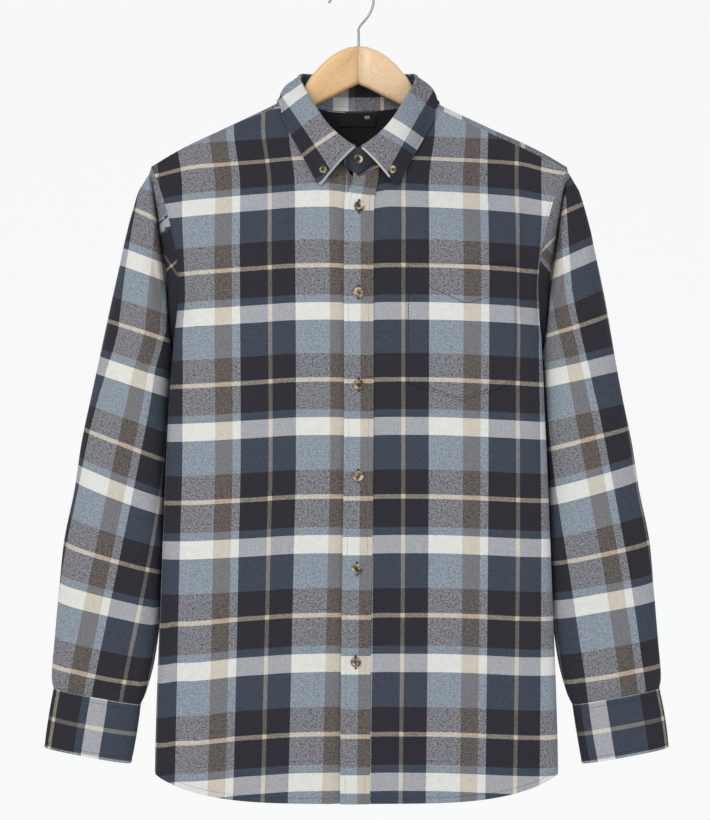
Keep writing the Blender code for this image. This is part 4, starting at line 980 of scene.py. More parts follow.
def pocketSheet():
    share = np.linspace(0, 1, pocket["columns"])[None, :]
    climb = np.linspace(0, 1, pocket["rows"])[:, None]
    across = pocket["centre"] + (share - 0.5) * pocket["width"]
    low = mix(pocket["sideBottom"], pocket["point"], 1.0 - np.abs(2 * share - 1.0))
    height = mix(low, pocket["top"], climb)
    points = frontPoint(across + 0 * climb, height)
    normals = gridNormals(points)
    fromEdge = np.minimum(np.minimum(share, 1 - share) * pocket["width"], (height - low))
    fromTop = pocket["top"] - height
    mouth = 0.0006 * np.exp(-fromTop / 0.012) * np.sin(np.pi * share)
    lift = frontLift(points) + 3 * gap + shirt["cloth"] + groove(fromEdge - pocket["stitchIn"]) + mouth
    lift = lift + 0.0003 * np.sin(np.pi * share) * np.sin(np.pi * climb)
    return points, points + normals * lift[..., None]


pocketBase, pocketPoints = pocketSheet()
pocketPiece = flannelPiece("chest_pocket", pocketPoints, bodyWeave(pocketBase, leftTanRows))
print("placket and pocket made")

# Sleeves

# outer end across and height, inner end across and height, depth in front and behind
sleeveRows = np.array((
    (0.2526, -0.2400, 0.2105, -0.4320, 0.027, 0.025), (0.2620, -0.2720, 0.2112, -0.4370, 0.032, 0.030),
    (0.2718, -0.3150, 0.2122, -0.4430, 0.035, 0.033), (0.2835, -0.3680, 0.2140, -0.4520, 0.036, 0.034),
    (0.2940, -0.4220, 0.2148, -0.4680, 0.034, 0.033), (0.3042, -0.4740, 0.2163, -0.4990, 0.032, 0.031),
    (0.3157, -0.5290, 0.2190, -0.5530, 0.030, 0.030), (0.3243, -0.5840, 0.2214, -0.6080, 0.029, 0.029),
    (0.3362, -0.6420, 0.2232, -0.6660, 0.028, 0.028), (0.3422, -0.7030, 0.2252, -0.7260, 0.026, 0.027),
    (0.3470, -0.7570, 0.2320, -0.7800, 0.023, 0.024), (0.3502, -0.7960, 0.2414, -0.8160, 0.019, 0.020),
    (0.3484, -0.8125, 0.2480, -0.8310, 0.013, 0.013),
))
sleeve = {"backShift": 0.004, "roundness": 2.4, "valleyOut": 0.0150, "valleyLeast": 0.0022, "valleyIn": 0.62,
          "ridgeIndex": 9, "ringCount": 20, "creaseDeep": 0.0185, "creaseRow": 1.03, "creaseWide": 0.17}
# left sleeve is the wearer's, so it is on the +X side
sleeveCreases = {
    1: ((262, -232, 250, -330, 5, -1.6, 2), (272, -262, 262, -360, 6, 1.2, -2),
        (236, -330, 258, -470, 9, 1.5, 4), (300, -430, 250, -520, 10, -1.5, 4),
        (306, -500, 262, -560, 9, 1.1, -3), (262, -560, 282, -760, 12, -1.3, 4),
        (318, -600, 330, -790, 9, 1.1, -3), (256, -760, 262, -820, 5, -1.4, 0),
        (290, -770, 292, -826, 5, 1.1, 0), (322, -766, 322, -818, 5, -1.2, 0),
        (340, -700, 344, -810, 6, 0.9, 1), (246, -640, 256, -800, 7, 1.2, -2)),
    -1: ((-254, -232, -242, -330, 5, -1.6, -2), (-264, -262, -254, -360, 6, 1.2, 2),
         (-226, -330, -250, -470, 9, 1.5, -4), (-292, -430, -240, -520, 10, -1.5, -4),
         (-298, -500, -254, -560, 9, 1.1, 3), (-254, -560, -272, -760, 12, -1.3, -4),
         (-310, -600, -320, -790, 9, 1.1, 3), (-248, -760, -252, -820, 5, -1.4, 0),
         (-280, -770, -282, -826, 5, 1.1, 0), (-314, -766, -314, -818, 5, -1.2, 0),
         (-332, -700, -336, -810, 6, 0.9, -1), (-238, -640, -246, -800, 7, 1.2, 2)),
}
# where the taupe band's left edge runs and where the white bands start on it
sleevePlaid = {
    1: {"lean": -0.1636,
        "taupe": ((-0.950, 0.3265), (-0.678, 0.2850), (-0.4473, 0.2425), (-0.3907, 0.2300),
                  (-0.3568, 0.2244), (-0.3115, 0.2221), (-0.250, 0.2190)),
        "whites": ((-0.950, 4.85), (-0.8365, 4.0), (-0.7940, 3.675), (-0.7001, 3.0), (-0.5705, 2.0),
                   (-0.4424, 1.0), (-0.3262, 0.0), (-0.2765, -0.325), (-0.2495, -0.553), (-0.2080, -0.90),
                   (-0.100, -1.8)),
        "slopes": ((-0.900, -0.17), (-0.700, -0.18), (-0.570, -0.27), (-0.442, -0.22), (-0.326, -0.42),
                   (-0.200, -0.45)),
        "strip": {"at": (0.2130, -0.3227), "u": 0.517, "v": 0.765, "across": (-0.7, -0.7),
                  "down": (0.7, -0.7), "between": (0.02, 0.74, 0.20), "down to": (0.46, 0.92, 0.17)}},
    -1: {"lean": 0.2117,
         "taupe": ((-0.950, -0.3559), (-0.678, -0.2983), (-0.5434, -0.2698), (-0.4473, -0.2485),
                   (-0.4246, -0.2406), (-0.402, -0.2350), (-0.368, -0.2327), (-0.3239, -0.2287),
                   (-0.2889, -0.2259), (-0.2549, -0.2236)),
         "whites": ((-0.950, 4.85), (-0.8330, 4.0), (-0.7900, 3.675), (-0.6995, 3.0), (-0.5705, 2.0),
                    (-0.4450, 1.0), (-0.3206, 0.0), (-0.2747, -0.325), (-0.2000, -0.95), (-0.100, -1.85)),
         "slopes": ((-0.900, 0.19), (-0.810, 0.195), (-0.700, 0.247), (-0.570, 0.365), (-0.445, 0.30),
                    (-0.350, 0.33), (-0.310, 0.37), (-0.265, 0.46), (-0.200, 0.46)),
         "strip": {"at": (-0.2067, -0.3285), "u": 0.776, "v": 0.675, "across": (0.81, 0.58),
                   "down": (0.57, -0.82), "between": (0.60, 0.985, 0.12), "down to": (-0.27, 0.92, 0.17)}},
}
# how much closer the stripes lie towards the sleeve's head
sleeveCrowding = ((-0.900, 1.0), (-0.640, 1.0), (-0.500, 1.06), (-0.420, 1.22), (-0.300, 1.26),
                  (-0.200, 1.15))
# the strip beside each seam: its spans keep much of it in dark bands, painted shade of the valley beside it,
# and on the right sleeve its steel band is folded into the dark one as painted shade
seamStrip = {"repeat": 0.070, "above": (1.02, 1.27, 0.25), "from": -0.03, "steel": (0.153, 0.46),
             "dark": (0.46, 0.64), "ends": 8.3}


# The armhole from the armpit up the front, over the shoulder and down the back
def armholeRing(side, front):
    frontEdge, backEdge = (-1, 0) if side > 0 else (0, -1)
    armpit = coarse["armpit"]
    yokeFoot = coarse["frontTop"] - armpit + coarse["yokeTop"]
    rising = front["rows"] >= armpit - 1e-6
    down = back["rows"][::-1]
    wanted = (down > armpit + 1e-6) & (down < coarse["backTop"] - 1e-6)
    parts = (front["points"][rising, frontEdge], yoke["points"][::-1][1:, backEdge],
             back["points"][::-1][wanted, backEdge])
    places = (front["rows"][rising] - armpit, (yokeFoot - yoke["rows"][::-1])[1:],
              yokeFoot + coarse["backTop"] - down[wanted])
    return np.concatenate(parts), np.concatenate(places)


# A sine or cosine bent so that the ring is squarer than an ellipse
def squarer(value):
    return np.sign(value) * np.abs(value) ** (2.0 / sleeve["roundness"])


def sleeveRing(row, places):
    outerX, outerZ, innerX, innerZ, front, behind = row
    ridge, count = sleeve["ridgeIndex"], sleeve["ringCount"]
    onFront = places <= ridge
    turn = np.where(onFront, np.pi * (1 - places / ridge), np.pi * (places - ridge) / (count - ridge))
    depth = np.where(onFront, -front, behind)
    along = squarer(np.cos(turn))
    x = (outerX + innerX) / 2 + (outerX - innerX) / 2 * along
    z = (outerZ + innerZ) / 2 + (outerZ - innerZ) / 2 * along
    y = sleeve["backShift"] + depth * squarer(np.maximum(np.sin(turn), 0.0))
    return stack(x, y, z)


def sleeveGrid(side, front):
    seam, places = armholeRing(side, front)
    first = seam + np.array((side * 1.4 * gap, 0, 0))
    top, bottom = seam[:, 2].max(), seam[:, 2].min()
    share = (seam[:, 2] - bottom) / (top - bottom)
    swell = np.sin(np.pi * share)
    valley = stack(seam[:, 0] + side * (sleeve["valleyLeast"] + sleeve["valleyOut"] * swell),
                   seam[:, 1] * (1 - sleeve["valleyIn"] * swell), seam[:, 2] - mix(0.0035, 0.0065, share))
    rings = [first, valley]
    for row in sleeveRows:
        ring = sleeveRing(row, places)
        ring[:, 0] = shirt["centre"] + lean(ring[:, 2]) + side * ring[:, 0]
        rings.append(ring)
    rings[-1][:, 2] += 2 * gap
    rings = np.array(rings)
    rows = fineSteps([0.018, 0.030] + [0.050] * (len(rings) - 3), shirt["cell"])
    rows = np.sort(np.append(rows, 1.005))
    k = np.minimum(rows.astype(int), len(rings) - 2)
    t = (rows - k)[:, None, None]
    before, after = rings[np.maximum(k - 1, 0)], rings[np.minimum(k + 2, len(rings) - 1)]
    here, there = rings[k], rings[k + 1]
    easeIn = np.where(k < 2, 0.55, 1.0)[:, None, None]      # no overshoot in the valley
    start, end, rise = (there - before) / 2 * easeIn, (after - here) / 2 * easeIn, there - here
    grid = here + start * t + (3 * rise - 2 * start - end) * t ** 2 + (start + end - 2 * rise) * t ** 3
    # The sleeve rolls over the strip beside its seam, with a steep side towards the valley
    ahead = (rows > 1) & (rows < 2)
    t = (rows[ahead] - 1)[:, None]
    for axis, way in ((1, 1 - (1 - t) ** 2.8), (0, t ** 1.5)):
        rolled = mix(rings[1][None, :, axis], rings[2][None, :, axis], way)
        grid[ahead, :, axis] = mix(grid[ahead, :, axis], rolled, swell[None] ** 0.5)
    crease = np.exp(-((rows - sleeve["creaseRow"]) / sleeve["creaseWide"]) ** 2)[:, None]
    crease = sleeve["creaseDeep"] * crease * (swell ** 0.7)[None]
    grid[..., 1] += crease * np.where(places <= sleeve["ridgeIndex"], 1.0, -0.2)
    return grid, rows, places


# A value folded back and forth into a span, so that the cloth keeps its grain there
def bounce(value, low, high):
    t = np.mod(value - low, 2 * (high - low))
    return low + np.minimum(t, 2 * (high - low) - t)


def folded(value, low, high, wide):
    kept = np.where(value < low, bounce(mix(low, value, 0.5), low, low + wide), value)
    return np.where(value > high, bounce(mix(high, value, 0.5), high - wide, high), kept)


def sleeveWeave(points, rows, places, side):
    plan = sleevePlaid[side]
    closed = np.concatenate([points, points[:, :1]], axis=1)
    steps = np.hypot(*np.moveaxis(np.diff(closed[..., :2], axis=1), -1, 0))
    arc = np.concatenate([np.zeros((len(points), 1)), np.cumsum(steps, axis=1)], axis=1)
    middle = int(np.argmin(np.abs(places - sleeve["ridgeIndex"] / 2)))
    arc = side * (arc - arc[:, middle:middle + 1])
    # behind, the stripes are counted straight inwards from the outer edge at the same height
    ridge = int(np.argmin(np.abs(places - sleeve["ridgeIndex"])))
    upwards = np.argsort(closed[:, ridge, 2])
    turning = (arc[:, ridge] + closed[:, middle, 0] + closed[:, ridge, 0])[upwards]
    inwards = np.interp(closed[..., 2], closed[upwards, ridge, 2], turning)
    inwards = inwards - closed[..., 0] - closed[:, middle:middle + 1, 0]
    arc = np.where(np.arange(closed.shape[1])[None] > ridge, inwards, arc)
    height = closed[..., 2]
    taupeX = np.interp(height, *np.transpose(plan["taupe"]))
    along = arc + closed[:, middle:middle + 1, 0] - taupeX
    closer = readTable(sleeveCrowding, 1, height)
    along = along * math.cos(math.atan(plan["lean"])) / flannel["warpRepeat"]
    outermost = (warpEdges[3] - taupeAt) / closer
    beyond = taupeAt + outermost * closer + (along - outermost) * mix(1.0, 0.70, ease((closer - 1.0) / 0.10))
    u = np.where((along > outermost) & (side > 0), beyond, taupeAt + along * closer)
    slope = readTable(plan["slopes"], 1, height)
    v = readTable(plan["whites"], 1, height + slope * np.clip(closed[..., 0] - taupeX, -0.08, 0.08))
    # The strip between the seam and the valley is turned cloth, so its stripes run another way; its bands are
    # held to darker spans, painted shade of the valley beside it
    strip = plan["strip"]
    flat = closed[..., [0, 2]] - np.array(strip["at"])
    turnedU = strip["u"] + flat @ np.array(strip["across"]) / seamStrip["repeat"]
    turnedV = strip["v"] + flat @ np.array(strip["down"]) / seamStrip["repeat"]
    above = folded(turnedU, *seamStrip["above"])
    turnedU = np.where(turnedV > seamStrip["from"], folded(turnedU, *strip["between"]), above)
    turnedV = folded(turnedV, *strip["down to"])
    # on the right sleeve the strip's steel band is given the dark band's colour, as painted shade in the
    # valley
    steelTop, steelEnd = seamStrip["steel"]
    steelPaintedShade = (turnedV > steelTop) & (turnedV < steelEnd) & (side < 0)
    turned = np.stack([turnedU, np.where(steelPaintedShade, bounce(turnedV, *seamStrip["dark"]), turnedV)], axis=-1)
    weave = np.stack([u, v], axis=-1)
    onStrip = (rows < 1.002)[:, None] & (np.append(places, places[0]) < seamStrip["ends"])[None]
    return np.where(onStrip[..., None], turned, weave)


def sleeveLift(points, rows, side):
    normals = gridNormals(points, ring=True)
    facing = 0.35 + 0.65 * np.abs(normals[..., 1])
    lift = creaseLift(points, sleeveCreases[side])
    mirrored = points + np.array((0.0, 0.0, 0.021))
    other = -0.8 * creaseLift(mirrored, sleeveCreases[side])
    blendBack = ease((normals[..., 1] + 0.35) / 0.7)
    lift = mix(lift, other, blendBack) * facing + softWaves(points, 0.5, 2.0 + side)
    ends = ease((rows - 1.6) / 1.2) * ease((rows[-1] - rows) / 0.25)
    return lift * ends[:, None] * np.where(normals[..., 1] > 0, 0.9, 1.0)


sleeves = {}
for side, word in sides:
    points, rows, places = sleeveGrid(side, left if side > 0 else right)
    weave = sleeveWeave(points, rows, places, side)
    if side > 0:
        around = weave[:, -1] - weave[:, 0]
        points, places = points[:, ::-1], places[::-1]
        weave = np.concatenate([weave[:, -2::-1], (weave[:, -2] - around)[:, None]], axis=1)
    normals = gridNormals(points, ring=True)
    points = points + normals * sleeveLift(points, rows, side)[..., None]
    piece = flannelPiece("sleeve_%s_cloth" % word, points, weave, ring=True)
    sleeves[side] = {"piece": piece, "points": points, "rows": rows, "weave": weave,
                     "places": places, "normals": gridNormals(points, ring=True)}
print("sleeves made")

# Cuffs and sleeve plackets
cuff = {"topOuter": (0.3484, -0.8125), "topInner": (0.2480, -0.8310), "lowOuter": (0.3590, -0.8794),
        "lowInner": (0.2590, -0.8980), "halfDepth": 0.0130, "wall": 0.0020, "lap": 26.0,
        "riseStart": 345.0, "rise": 12.0, "lapStart": 55.0, "stitchIn": 0.0056, "tall": 0.0678,
        "columns": 150, "rows": 34,
        # where the weft's white band starts across each cuff, from the shirt's centre line
        "white": {1: 0.2697, -1: -0.3098}}
slit = {"rows": 3, "from": 12.1, "to": 12.9, "columns": 12, "clear": 0.0006, "plaidShift": (0.21, 0.0)}


def cuffCorner(name):
    across, height = cuff[name]
    return np.array((across, 0.0, height))


def cuffPoint(side, angle, share, out):
    share = np.asarray(share)[..., None]
    outer = mix(cuffCorner("topOuter"), cuffCorner("lowOuter"), share)
    inner = mix(cuffCorner("topInner"), cuffCorner("lowInner"), share)
    middle, reach = (outer + inner) / 2, (outer - inner) / 2
    turn = np.radians(angle)
    along, across = squarer(np.cos(turn)), squarer(np.sin(turn))
    stretch = 1.0 + out / np.linalg.norm(reach, axis=-1)
    point = middle + reach * (along * stretch)[..., None]
    depth = sleeve["backShift"] + (cuff["halfDepth"] + out) * across
    return stack(shirt["centre"] + side * point[..., 0], depth, point[..., 2])


def cuffGrid(side):
    travelled = ((360.0 + cuff["lap"]) * np.linspace(0, 1, cuff["columns"]))[None, :]
    angle = cuff["lapStart"] + travelled
    over = ease((travelled - cuff["riseStart"]) / cuff["rise"]) * (cuff["wall"] + 2 * gap)
    share = np.linspace(1, 0, cuff["rows"])[:, None]
    tall = math.hypot(*np.subtract(cuff["lowOuter"], cuff["topOuter"]))
    fromEdge = np.minimum(share, 1 - share) * tall
    puff = 0.0007 * np.sin(np.pi * share) + groove(fromEdge - cuff["stitchIn"], 0.0004)
    wave = 0.0005 * np.sin(np.radians(angle) * 3 + 1 + side) * np.sin(np.pi * share)
    points = cuffPoint(side, angle + 0 * share, share + 0 * angle, over + puff + wave)
    halfWay = points[cuff["rows"] // 2]
    arc = travelledAlong(halfWay[:, :2])
    front = int(np.argmin(np.abs(angle[0] - 270)))
    fromFront = side * (arc - arc[front]) + halfWay[front, 0] - shirt["centre"]
    v = (fromFront[None] - cuff["white"][side]) / flannel["weftRepeat"] + 0 * share
    # the bands lie closer together towards both ends
    first, last = -0.067, 0.447
    v = np.where(v < first, first + (v - first) * 1.18, v)
    v = np.where(v > last, last + (v - last) * 1.35, v)
    u = tanAt + (share - 0.49) * tall * np.where(share < 0.49, 1.02, 0.9) / flannel["warpRepeat"] + 0 * v
    weave = np.stack([u, v], axis=-1)
    if side < 0:
        points, weave = points[:, ::-1], weave[:, ::-1]
    return points, weave


cuffs = {}
for side, word in sides:
    points, weave = cuffGrid(side)
    piece = flannelPiece("cuff_%s_cloth" % word, points, weave, cuff["wall"])
    cuffs[side] = {"piece": piece, "points": points, "normals": gridNormals(points)}

slits = {}
for side, word in sides:
    made = sleeves[side]
    wanted = made["rows"] >= made["rows"][-1] - slit["rows"] - 1e-6
    first = int(np.argmin(np.abs(made["places"] - slit["from"])))
    last = int(np.argmin(np.abs(made["places"] - slit["to"])))
    chosen = slice(min(first, last), max(first, last) + 1)
    base, out = made["points"][wanted][:, chosen], made["normals"][wanted][:, chosen]
    points = spreadColumns(base + out * (shirt["cloth"] + slit["clear"]), slit["columns"])
    points[-1] = mix(points[-1], points[-2], 0.4)
    weave = spreadColumns(made["weave"][wanted][:, chosen], slit["columns"]) + np.array(slit["plaidShift"])
    piece = flannelPiece("sleeve_placket_%s_cloth" % word, points, weave)
    slits[side] = {"piece": piece, "points": points, "normals": gridNormals(points)}
print("cuffs and sleeve plackets made")

# Collar
collar = {"overEnd": -0.0112, "centre": 0.0060, "cloth": 0.0015, "foldHalf": 0.0670,
          "foldFront": 0.0620, "foldBack": 0.0210, "clear": 0.0016, "rollFront": 0.0030,
          "rollBack": 0.0055, "start": 2.6, "standLap": 0.0150, "standLift": 0.0010, "endDrop": 0.006,
          "frontSpread": 40.0, "stitchIn": 0.0056, "edgeStrip": 0.0027, "stripEnd": 0.80,
          "leafColumns": 301, "flatRows": 30, "turnRows": 7, "standColumns": 190, "standRows": 14}
collar["onStand"] = collar["cloth"] + 2 * gap + 0.0004
foldRows = (                    # degrees from the front, height
    (0.0, -0.2010), (8.0, -0.1965), (28.0, -0.1767), (57.0, -0.1380), (90.0, -0.1115),
    (130.0, -0.1065), (180.0, -0.1060),
)
# share, across, height, and -1 in front, 0 on the ridge, 1 behind
leafRows = (
    (0.00, 0.0420, -0.2410, -1), (0.04, 0.0465, -0.2365, -1), (0.24, 0.0650, -0.2020, -1),
    (0.36, 0.0775, -0.1785, -1), (0.44, 0.0870, -0.1590, -1), (0.50, 0.0935, -0.1420, 0),
    (0.56, 0.0900, -0.1560, 1), (0.62, 0.0800, -0.1570, 1), (0.80, 0.0480, -0.1590, 1),
    (1.00, 0.0000, -0.1610, 1),
)


def foldReach(angle):
    return np.where(np.cos(np.radians(angle)) > 0, collar["foldFront"], collar["foldBack"])


def foldPoint(angle):
    turn = np.radians(angle)
    around = np.mod(angle, 360.0)
    height = readTable(foldRows, 1, np.minimum(around, 360.0 - around))
    across = collar["centre"] + collar["foldHalf"] * np.sin(turn)
    return stack(across, -foldReach(angle) * np.cos(turn), height)


def outwardAt(angle):
    turn = np.radians(angle)
    way = stack(np.sin(turn) / collar["foldHalf"], -np.cos(turn) / foldReach(angle), 0.0)
    return way / np.linalg.norm(way, axis=-1, keepdims=True)


def leafEdge(share):
    half = np.where(share <= 1.0, share, 2.0 - share)
    side = np.where(share <= 1.0, 1.0, -1.0)
    across = side * readTable(leafRows, 1, half) + collar["centre"] - shirt["centre"]
    height = readTable(leafRows, 2, half)
    behind = readTable(leafRows, 3, half)
    clear = collar["cloth"] + collar["clear"]
    inFront = frontPoint(across, height, out=clear)
    inBack = backPoint(across, height, out=clear)
    run = -behind * rollRun
    onTop = heightAtRun(across, run)
    over = np.where((run > 0)[:, None], frontPoint(across, onTop), backPoint(across, onTop))
    tilt = np.pi / 2 * behind
    over = over + stack(0.0, np.sin(tilt), np.cos(tilt)) * clear
    return np.where((behind < -0.99)[:, None], inFront, np.where((behind > 0.99)[:, None], inBack, over))


def leafGrid(shares, downs):
    angle = mix(collar["start"], 360.0 - collar["start"], shares / 2)
    outward = outwardAt(angle)
    fold = foldPoint(angle)
    top = fold + outward * collar["onStand"]
    edge = leafEdge(shares)
    frontShare = ease((np.abs(shares - 1.0) - 0.35) / 0.25)
    bow = mix(collar["rollBack"], collar["rollFront"], frontShare)
    grid = []
    for down in downs:
        if down < 0:                                    # the cloth turns over the stand's top edge
            turn = -down * math.radians(150)
            radius = (collar["onStand"] + 0.0018) / 2
            middle = collar["onStand"] - radius
            line = fold + outward * (middle + radius * math.cos(turn))
            line[:, 2] += radius * math.sin(turn)
            grid.append(line)
            continue
        line = mix(top, edge, down)
        roll = bow * math.sin(math.pi * min(down * 1.1, 1.0))
        line = line + outward * roll[:, None]
        line[:, 2] += roll / 2
        across = line[:, 0] - shirt["centre"]
        nearNeck = np.abs(across) < shirt["neckHalf"] + 0.008
        low = (line[:, 1] < 0) & nearNeck & (line[:, 2] < neckline(across) + 0.006)
        limit = frontPoint(across, line[:, 2])[:, 1] - collar["cloth"] - collar["clear"]
        line[:, 1] = np.where(low, np.minimum(line[:, 1], limit), line[:, 1])
        grid.append(line)
    return np.array(grid)


# The collar's plaid: a line through the boundary of light and dark cloth on each point, in metres
leafPlaid = {
    1: {"start": (0.0848, -0.1413), "end": (0.0392, -0.2268),
        "bands": ((-0.060, -1.30), (0.0034, -1.5532), (0.040, -1.8466), (0.0567, -2.0), (0.064, -2.067),
                  (0.088, -2.270), (0.120, -2.300))},
    -1: {"start": (-0.0730, -0.1468), "end": (-0.0230, -0.2279),
         "bands": ((-0.040, -0.13), (-0.014, 0.0), (0.0013, 0.1534), (0.0305, 0.4468), (0.0567, 0.6563),
                   (0.0612, 0.694), (0.0912, 0.933), (0.0967, 1.0), (0.110, 1.08))},
}
# the stand's bands inside the back neck, by place across
standBands = ((-0.10, 0.71), (-0.062, 0.4468), (-0.0229, 0.1534), (-0.0049, 0.0), (0.0026, -0.067),
              (0.0322, -0.306), (0.0362, -0.344), (0.0620, -0.55), (0.10, -0.80))


# How long the leading edges are for each unit of share, at every height of the leaf
def edgeReach(points):
    steps = np.linalg.norm(np.diff(points, axis=1), axis=-1)
    return (np.sum(steps, axis=1) / 2)[:, None]


def leafWeave(points, shares, downs):
    edgeRow = int(np.argmax(downs))
    length = np.linalg.norm(points[edgeRow] - points, axis=-1)
    aroundBack = np.interp(shares, (0.42, 1.58), (0.10, 1.30))
    u = 1.0 + (length - 0.0145) / flannel["warpRepeat"]
    v = np.broadcast_to(-aroundBack, u.shape).copy()
    for side in (1, -1):
        plan = leafPlaid[side]
        start, end = np.array(plan["start"]), np.array(plan["end"])
        way = (end - start) / np.linalg.norm(end - start)
        aside = side * np.array((way[1], -way[0]))
        fromStart = points[..., [0, 2]] - start
        flatU = 1.0 + (fromStart @ aside) / flannel["warpRepeat"]
        flatV = readTable(plan["bands"], 1, fromStart @ way)
        weight = ease((np.abs(shares - 1) - 0.42) / 0.07) * (side * shares < side)
        u = mix(u, flatU, weight[None])
        v = mix(v, flatV, weight[None])
    # The leading edges end in a pale strip, cream on one point and grey-white on the other
    fromLeading = np.minimum(shares, 2 - shares)[None] * edgeReach(points)
    strip = (fromLeading < collar["edgeStrip"]) & (downs[:, None] > 0)
    onLeft = strip & (shares < 1)[None] & (downs[:, None] < collar["stripEnd"])
    onRight = strip & (shares > 1)[None]
    stripU, stripV = np.where(onLeft, 0.36, 0.90), 0.07
    u = np.where(onLeft | onRight, stripU + np.round(u - stripU), u)      # the nearest repeat of that place
    v = np.where(onLeft | onRight, stripV + np.round(v - stripV), v)
    return np.stack([u, v], axis=-1)


leafShares = np.linspace(0, 2, collar["leafColumns"])
leafDowns = np.concatenate([np.linspace(1, 0, collar["flatRows"]),
                            -np.linspace(0.14, 1.0, collar["turnRows"])])
leafPoints = leafGrid(leafShares, leafDowns)
leafNormals = gridNormals(leafPoints)
edgeLength = np.linalg.norm(leafPoints[0] - leafPoints, axis=-1)
leafLift = groove(edgeLength - collar["stitchIn"], 0.0004, 0.0013)
leafPoints = leafPoints + leafNormals * leafLift[..., None]
leafWoven = leafWeave(leafPoints, leafShares, leafDowns)
leafPiece = flannelPiece("collar_leaf_cloth", leafPoints, leafWoven, collar["cloth"])


def neckPoint(across):
    across = np.array([across])
    return frontPoint(across, neckline(across))[0]


# The part of a front's top edge that the stand is sewn to
def frontNeck(grid, side):
    line = grid["points"][-1]
    inNeck = side * (line[:, 0] - shirt["centre"]) < shirt["neckHalf"] + 0.001
    return line[(grid["columns"] >= 2) & inNeck]


# The stand runs from its upper end round the wearer's left and the back to its lower end
def standFoot():
    first = [neckPoint(across) for across in (collar["overEnd"], 0.0)]
    lapped = [neckPoint(across) for across in (-0.0165, 0.0, collar["standLap"])]
    behind = yoke["points"][-1]
    behind = behind[np.abs(behind[:, 0] - shirt["centre"]) < shirt["neckHalf"] - 0.001]
    feet = np.concatenate([first, frontNeck(left, 1), behind, frontNeck(right, -1), lapped])
    insets = np.zeros(len(feet))
    insets[-len(lapped):] = collar["cloth"] + 2 * gap
    travelled = travelledAlong(feet)
    at = np.linspace(0, travelled[-1], collar["standColumns"])
    return valuesAt(at, travelled, feet), np.interp(at, travelled, insets), at


def standGrid():
    feet, insets, travelled = standFoot()
    across = (feet[:, 0] - shirt["centre"]) / shirt["neckHalf"]
    depth = -feet[:, 1] / np.where(feet[:, 1] < 0, collar["foldFront"], collar["foldBack"])
    angle = np.mod(np.degrees(np.arctan2(across, depth)), 360.0)
    head, outward = foldPoint(angle), outwardAt(angle)
    nearFront = ease(1.0 - np.minimum(angle, 360 - angle) / collar["frontSpread"])
    foot = feet + outward * (nearFront * (shirt["cloth"] + gap) - insets)[:, None]
    foot[:, 2] += collar["standLift"]
    head = head - outward * insets[:, None]
    ends = np.minimum(travelled, travelled[-1] - travelled)
    head[:, 2] -= collar["endDrop"] * (1 - ease(ends / 0.012))
    points = np.array([mix(foot, head, row) for row in np.linspace(0, 1, collar["standRows"])])
    behind = ease((points[..., 1] + 0.012) / 0.020)
    fromTop = np.linalg.norm(points - points[-1:], axis=-1)
    v = mix(0.30, readTable(standBands, 1, points[..., 0]), behind)
    u = mix(0.62, 1.0 + (fromTop - 0.0250) / flannel["warpRepeat"], behind)
    under = (travelled > travelled[-1] - 0.036)[None] & (behind < 0.5)
    u, v = np.where(under, 0.15, u), np.where(under, 0.55, v)
    return points, np.stack([u, v], axis=-1)


standPoints, standWeave = standGrid()
standPiece = flannelPiece("collar_stand_cloth", standPoints, standWeave, collar["cloth"])
print("collar made")

# Sewing
seams = {"hemIn": 0.0062, "beside": 0.0030, "aboveArm": 11.1, "yokeRow": 1.0, "yokeTop": 1.7,
         "standRow": 1.6, "standInside": (40, 150),
         "pocket": {"width": 0.0008, "length": 0.0031, "pitch": 0.0035}}
sewing = {}
standNormals = gridNormals(standPoints)


def sewOn(piece, name, lines, material="thread", **changes):
    sewing[piece.name] = sewStitches(name, lines, cloths[material], {**stitch, **changes})


placketNormals = gridNormals(placketPoints)
placketCells = (placket["columns"] - 1) / placket["width"]
placketStitches = (placket["stitchIn"], placket["width"] - placket["stitchIn"])
sewOn(placketPiece, "placket_stitching",
      [columnLine(placketPoints, placketNormals, at * placketCells) for at in placketStitches], "paleThread")


def pocketLines():
    normals = gridNormals(pocketPoints)
    across = pocketPoints.shape[1] - 1
    inset = pocket["stitchIn"] / pocket["width"] * across
    lines = [columnLine(pocketPoints, normals, inset), columnLine(pocketPoints, normals, across - inset)]
    tall = (pocket["top"] - pocket["sideBottom"]) / (pocketPoints.shape[0] - 1)
    lines.append(rowLine(pocketPoints, normals, pocket["stitchIn"] / tall))
    columns = np.arange(across + 1)
    share = columns / across
    depth = np.interp(share, *zip(*pocket["flap"]))
    row = pocketPoints.shape[0] - 1 - depth / tall
    k = np.minimum(row.astype(int), pocketPoints.shape[0] - 2)
    t = (row - k)[:, None]
    lines.append((mix(pocketPoints[k, columns], pocketPoints[k + 1, columns], t), normals[k, columns]))
    return lines


sewOn(pocketPiece, "pocket_stitching", pocketLines(), **seams["pocket"])


# Stitches along the hem; its fold lies within the lowest 12 rows
def hemLine(points):
    travelled = travelledAlong(points[:12, points.shape[1] // 2])
    return rowLine(points, gridNormals(points), float(np.interp(seams["hemIn"], travelled, np.arange(12))))


# Stitches beside a seam, along one edge of a grid
def besideColumn(points, edge, rows):
    depth = seams["beside"]
    normals = gridNormals(points)
    order = points if edge == 0 else points[:, ::-1]
    step = np.linalg.norm(order[:, 1] - order[:, 0], axis=-1)
    two = np.linalg.norm(order[:, 2] - order[:, 1], axis=-1)
    at = np.where(depth < step, depth / step, 1 + np.clip((depth - step) / two, 0, 1))
    k = at.astype(int).clip(0, 1)
    picks = np.arange(len(points))
    t = (at - k)[:, None]
    line = mix(order[picks, k], order[picks, k + 1], t)
    turns = (normals if edge == 0 else normals[:, ::-1])[picks, 0]
    return line[rows], turns[rows]


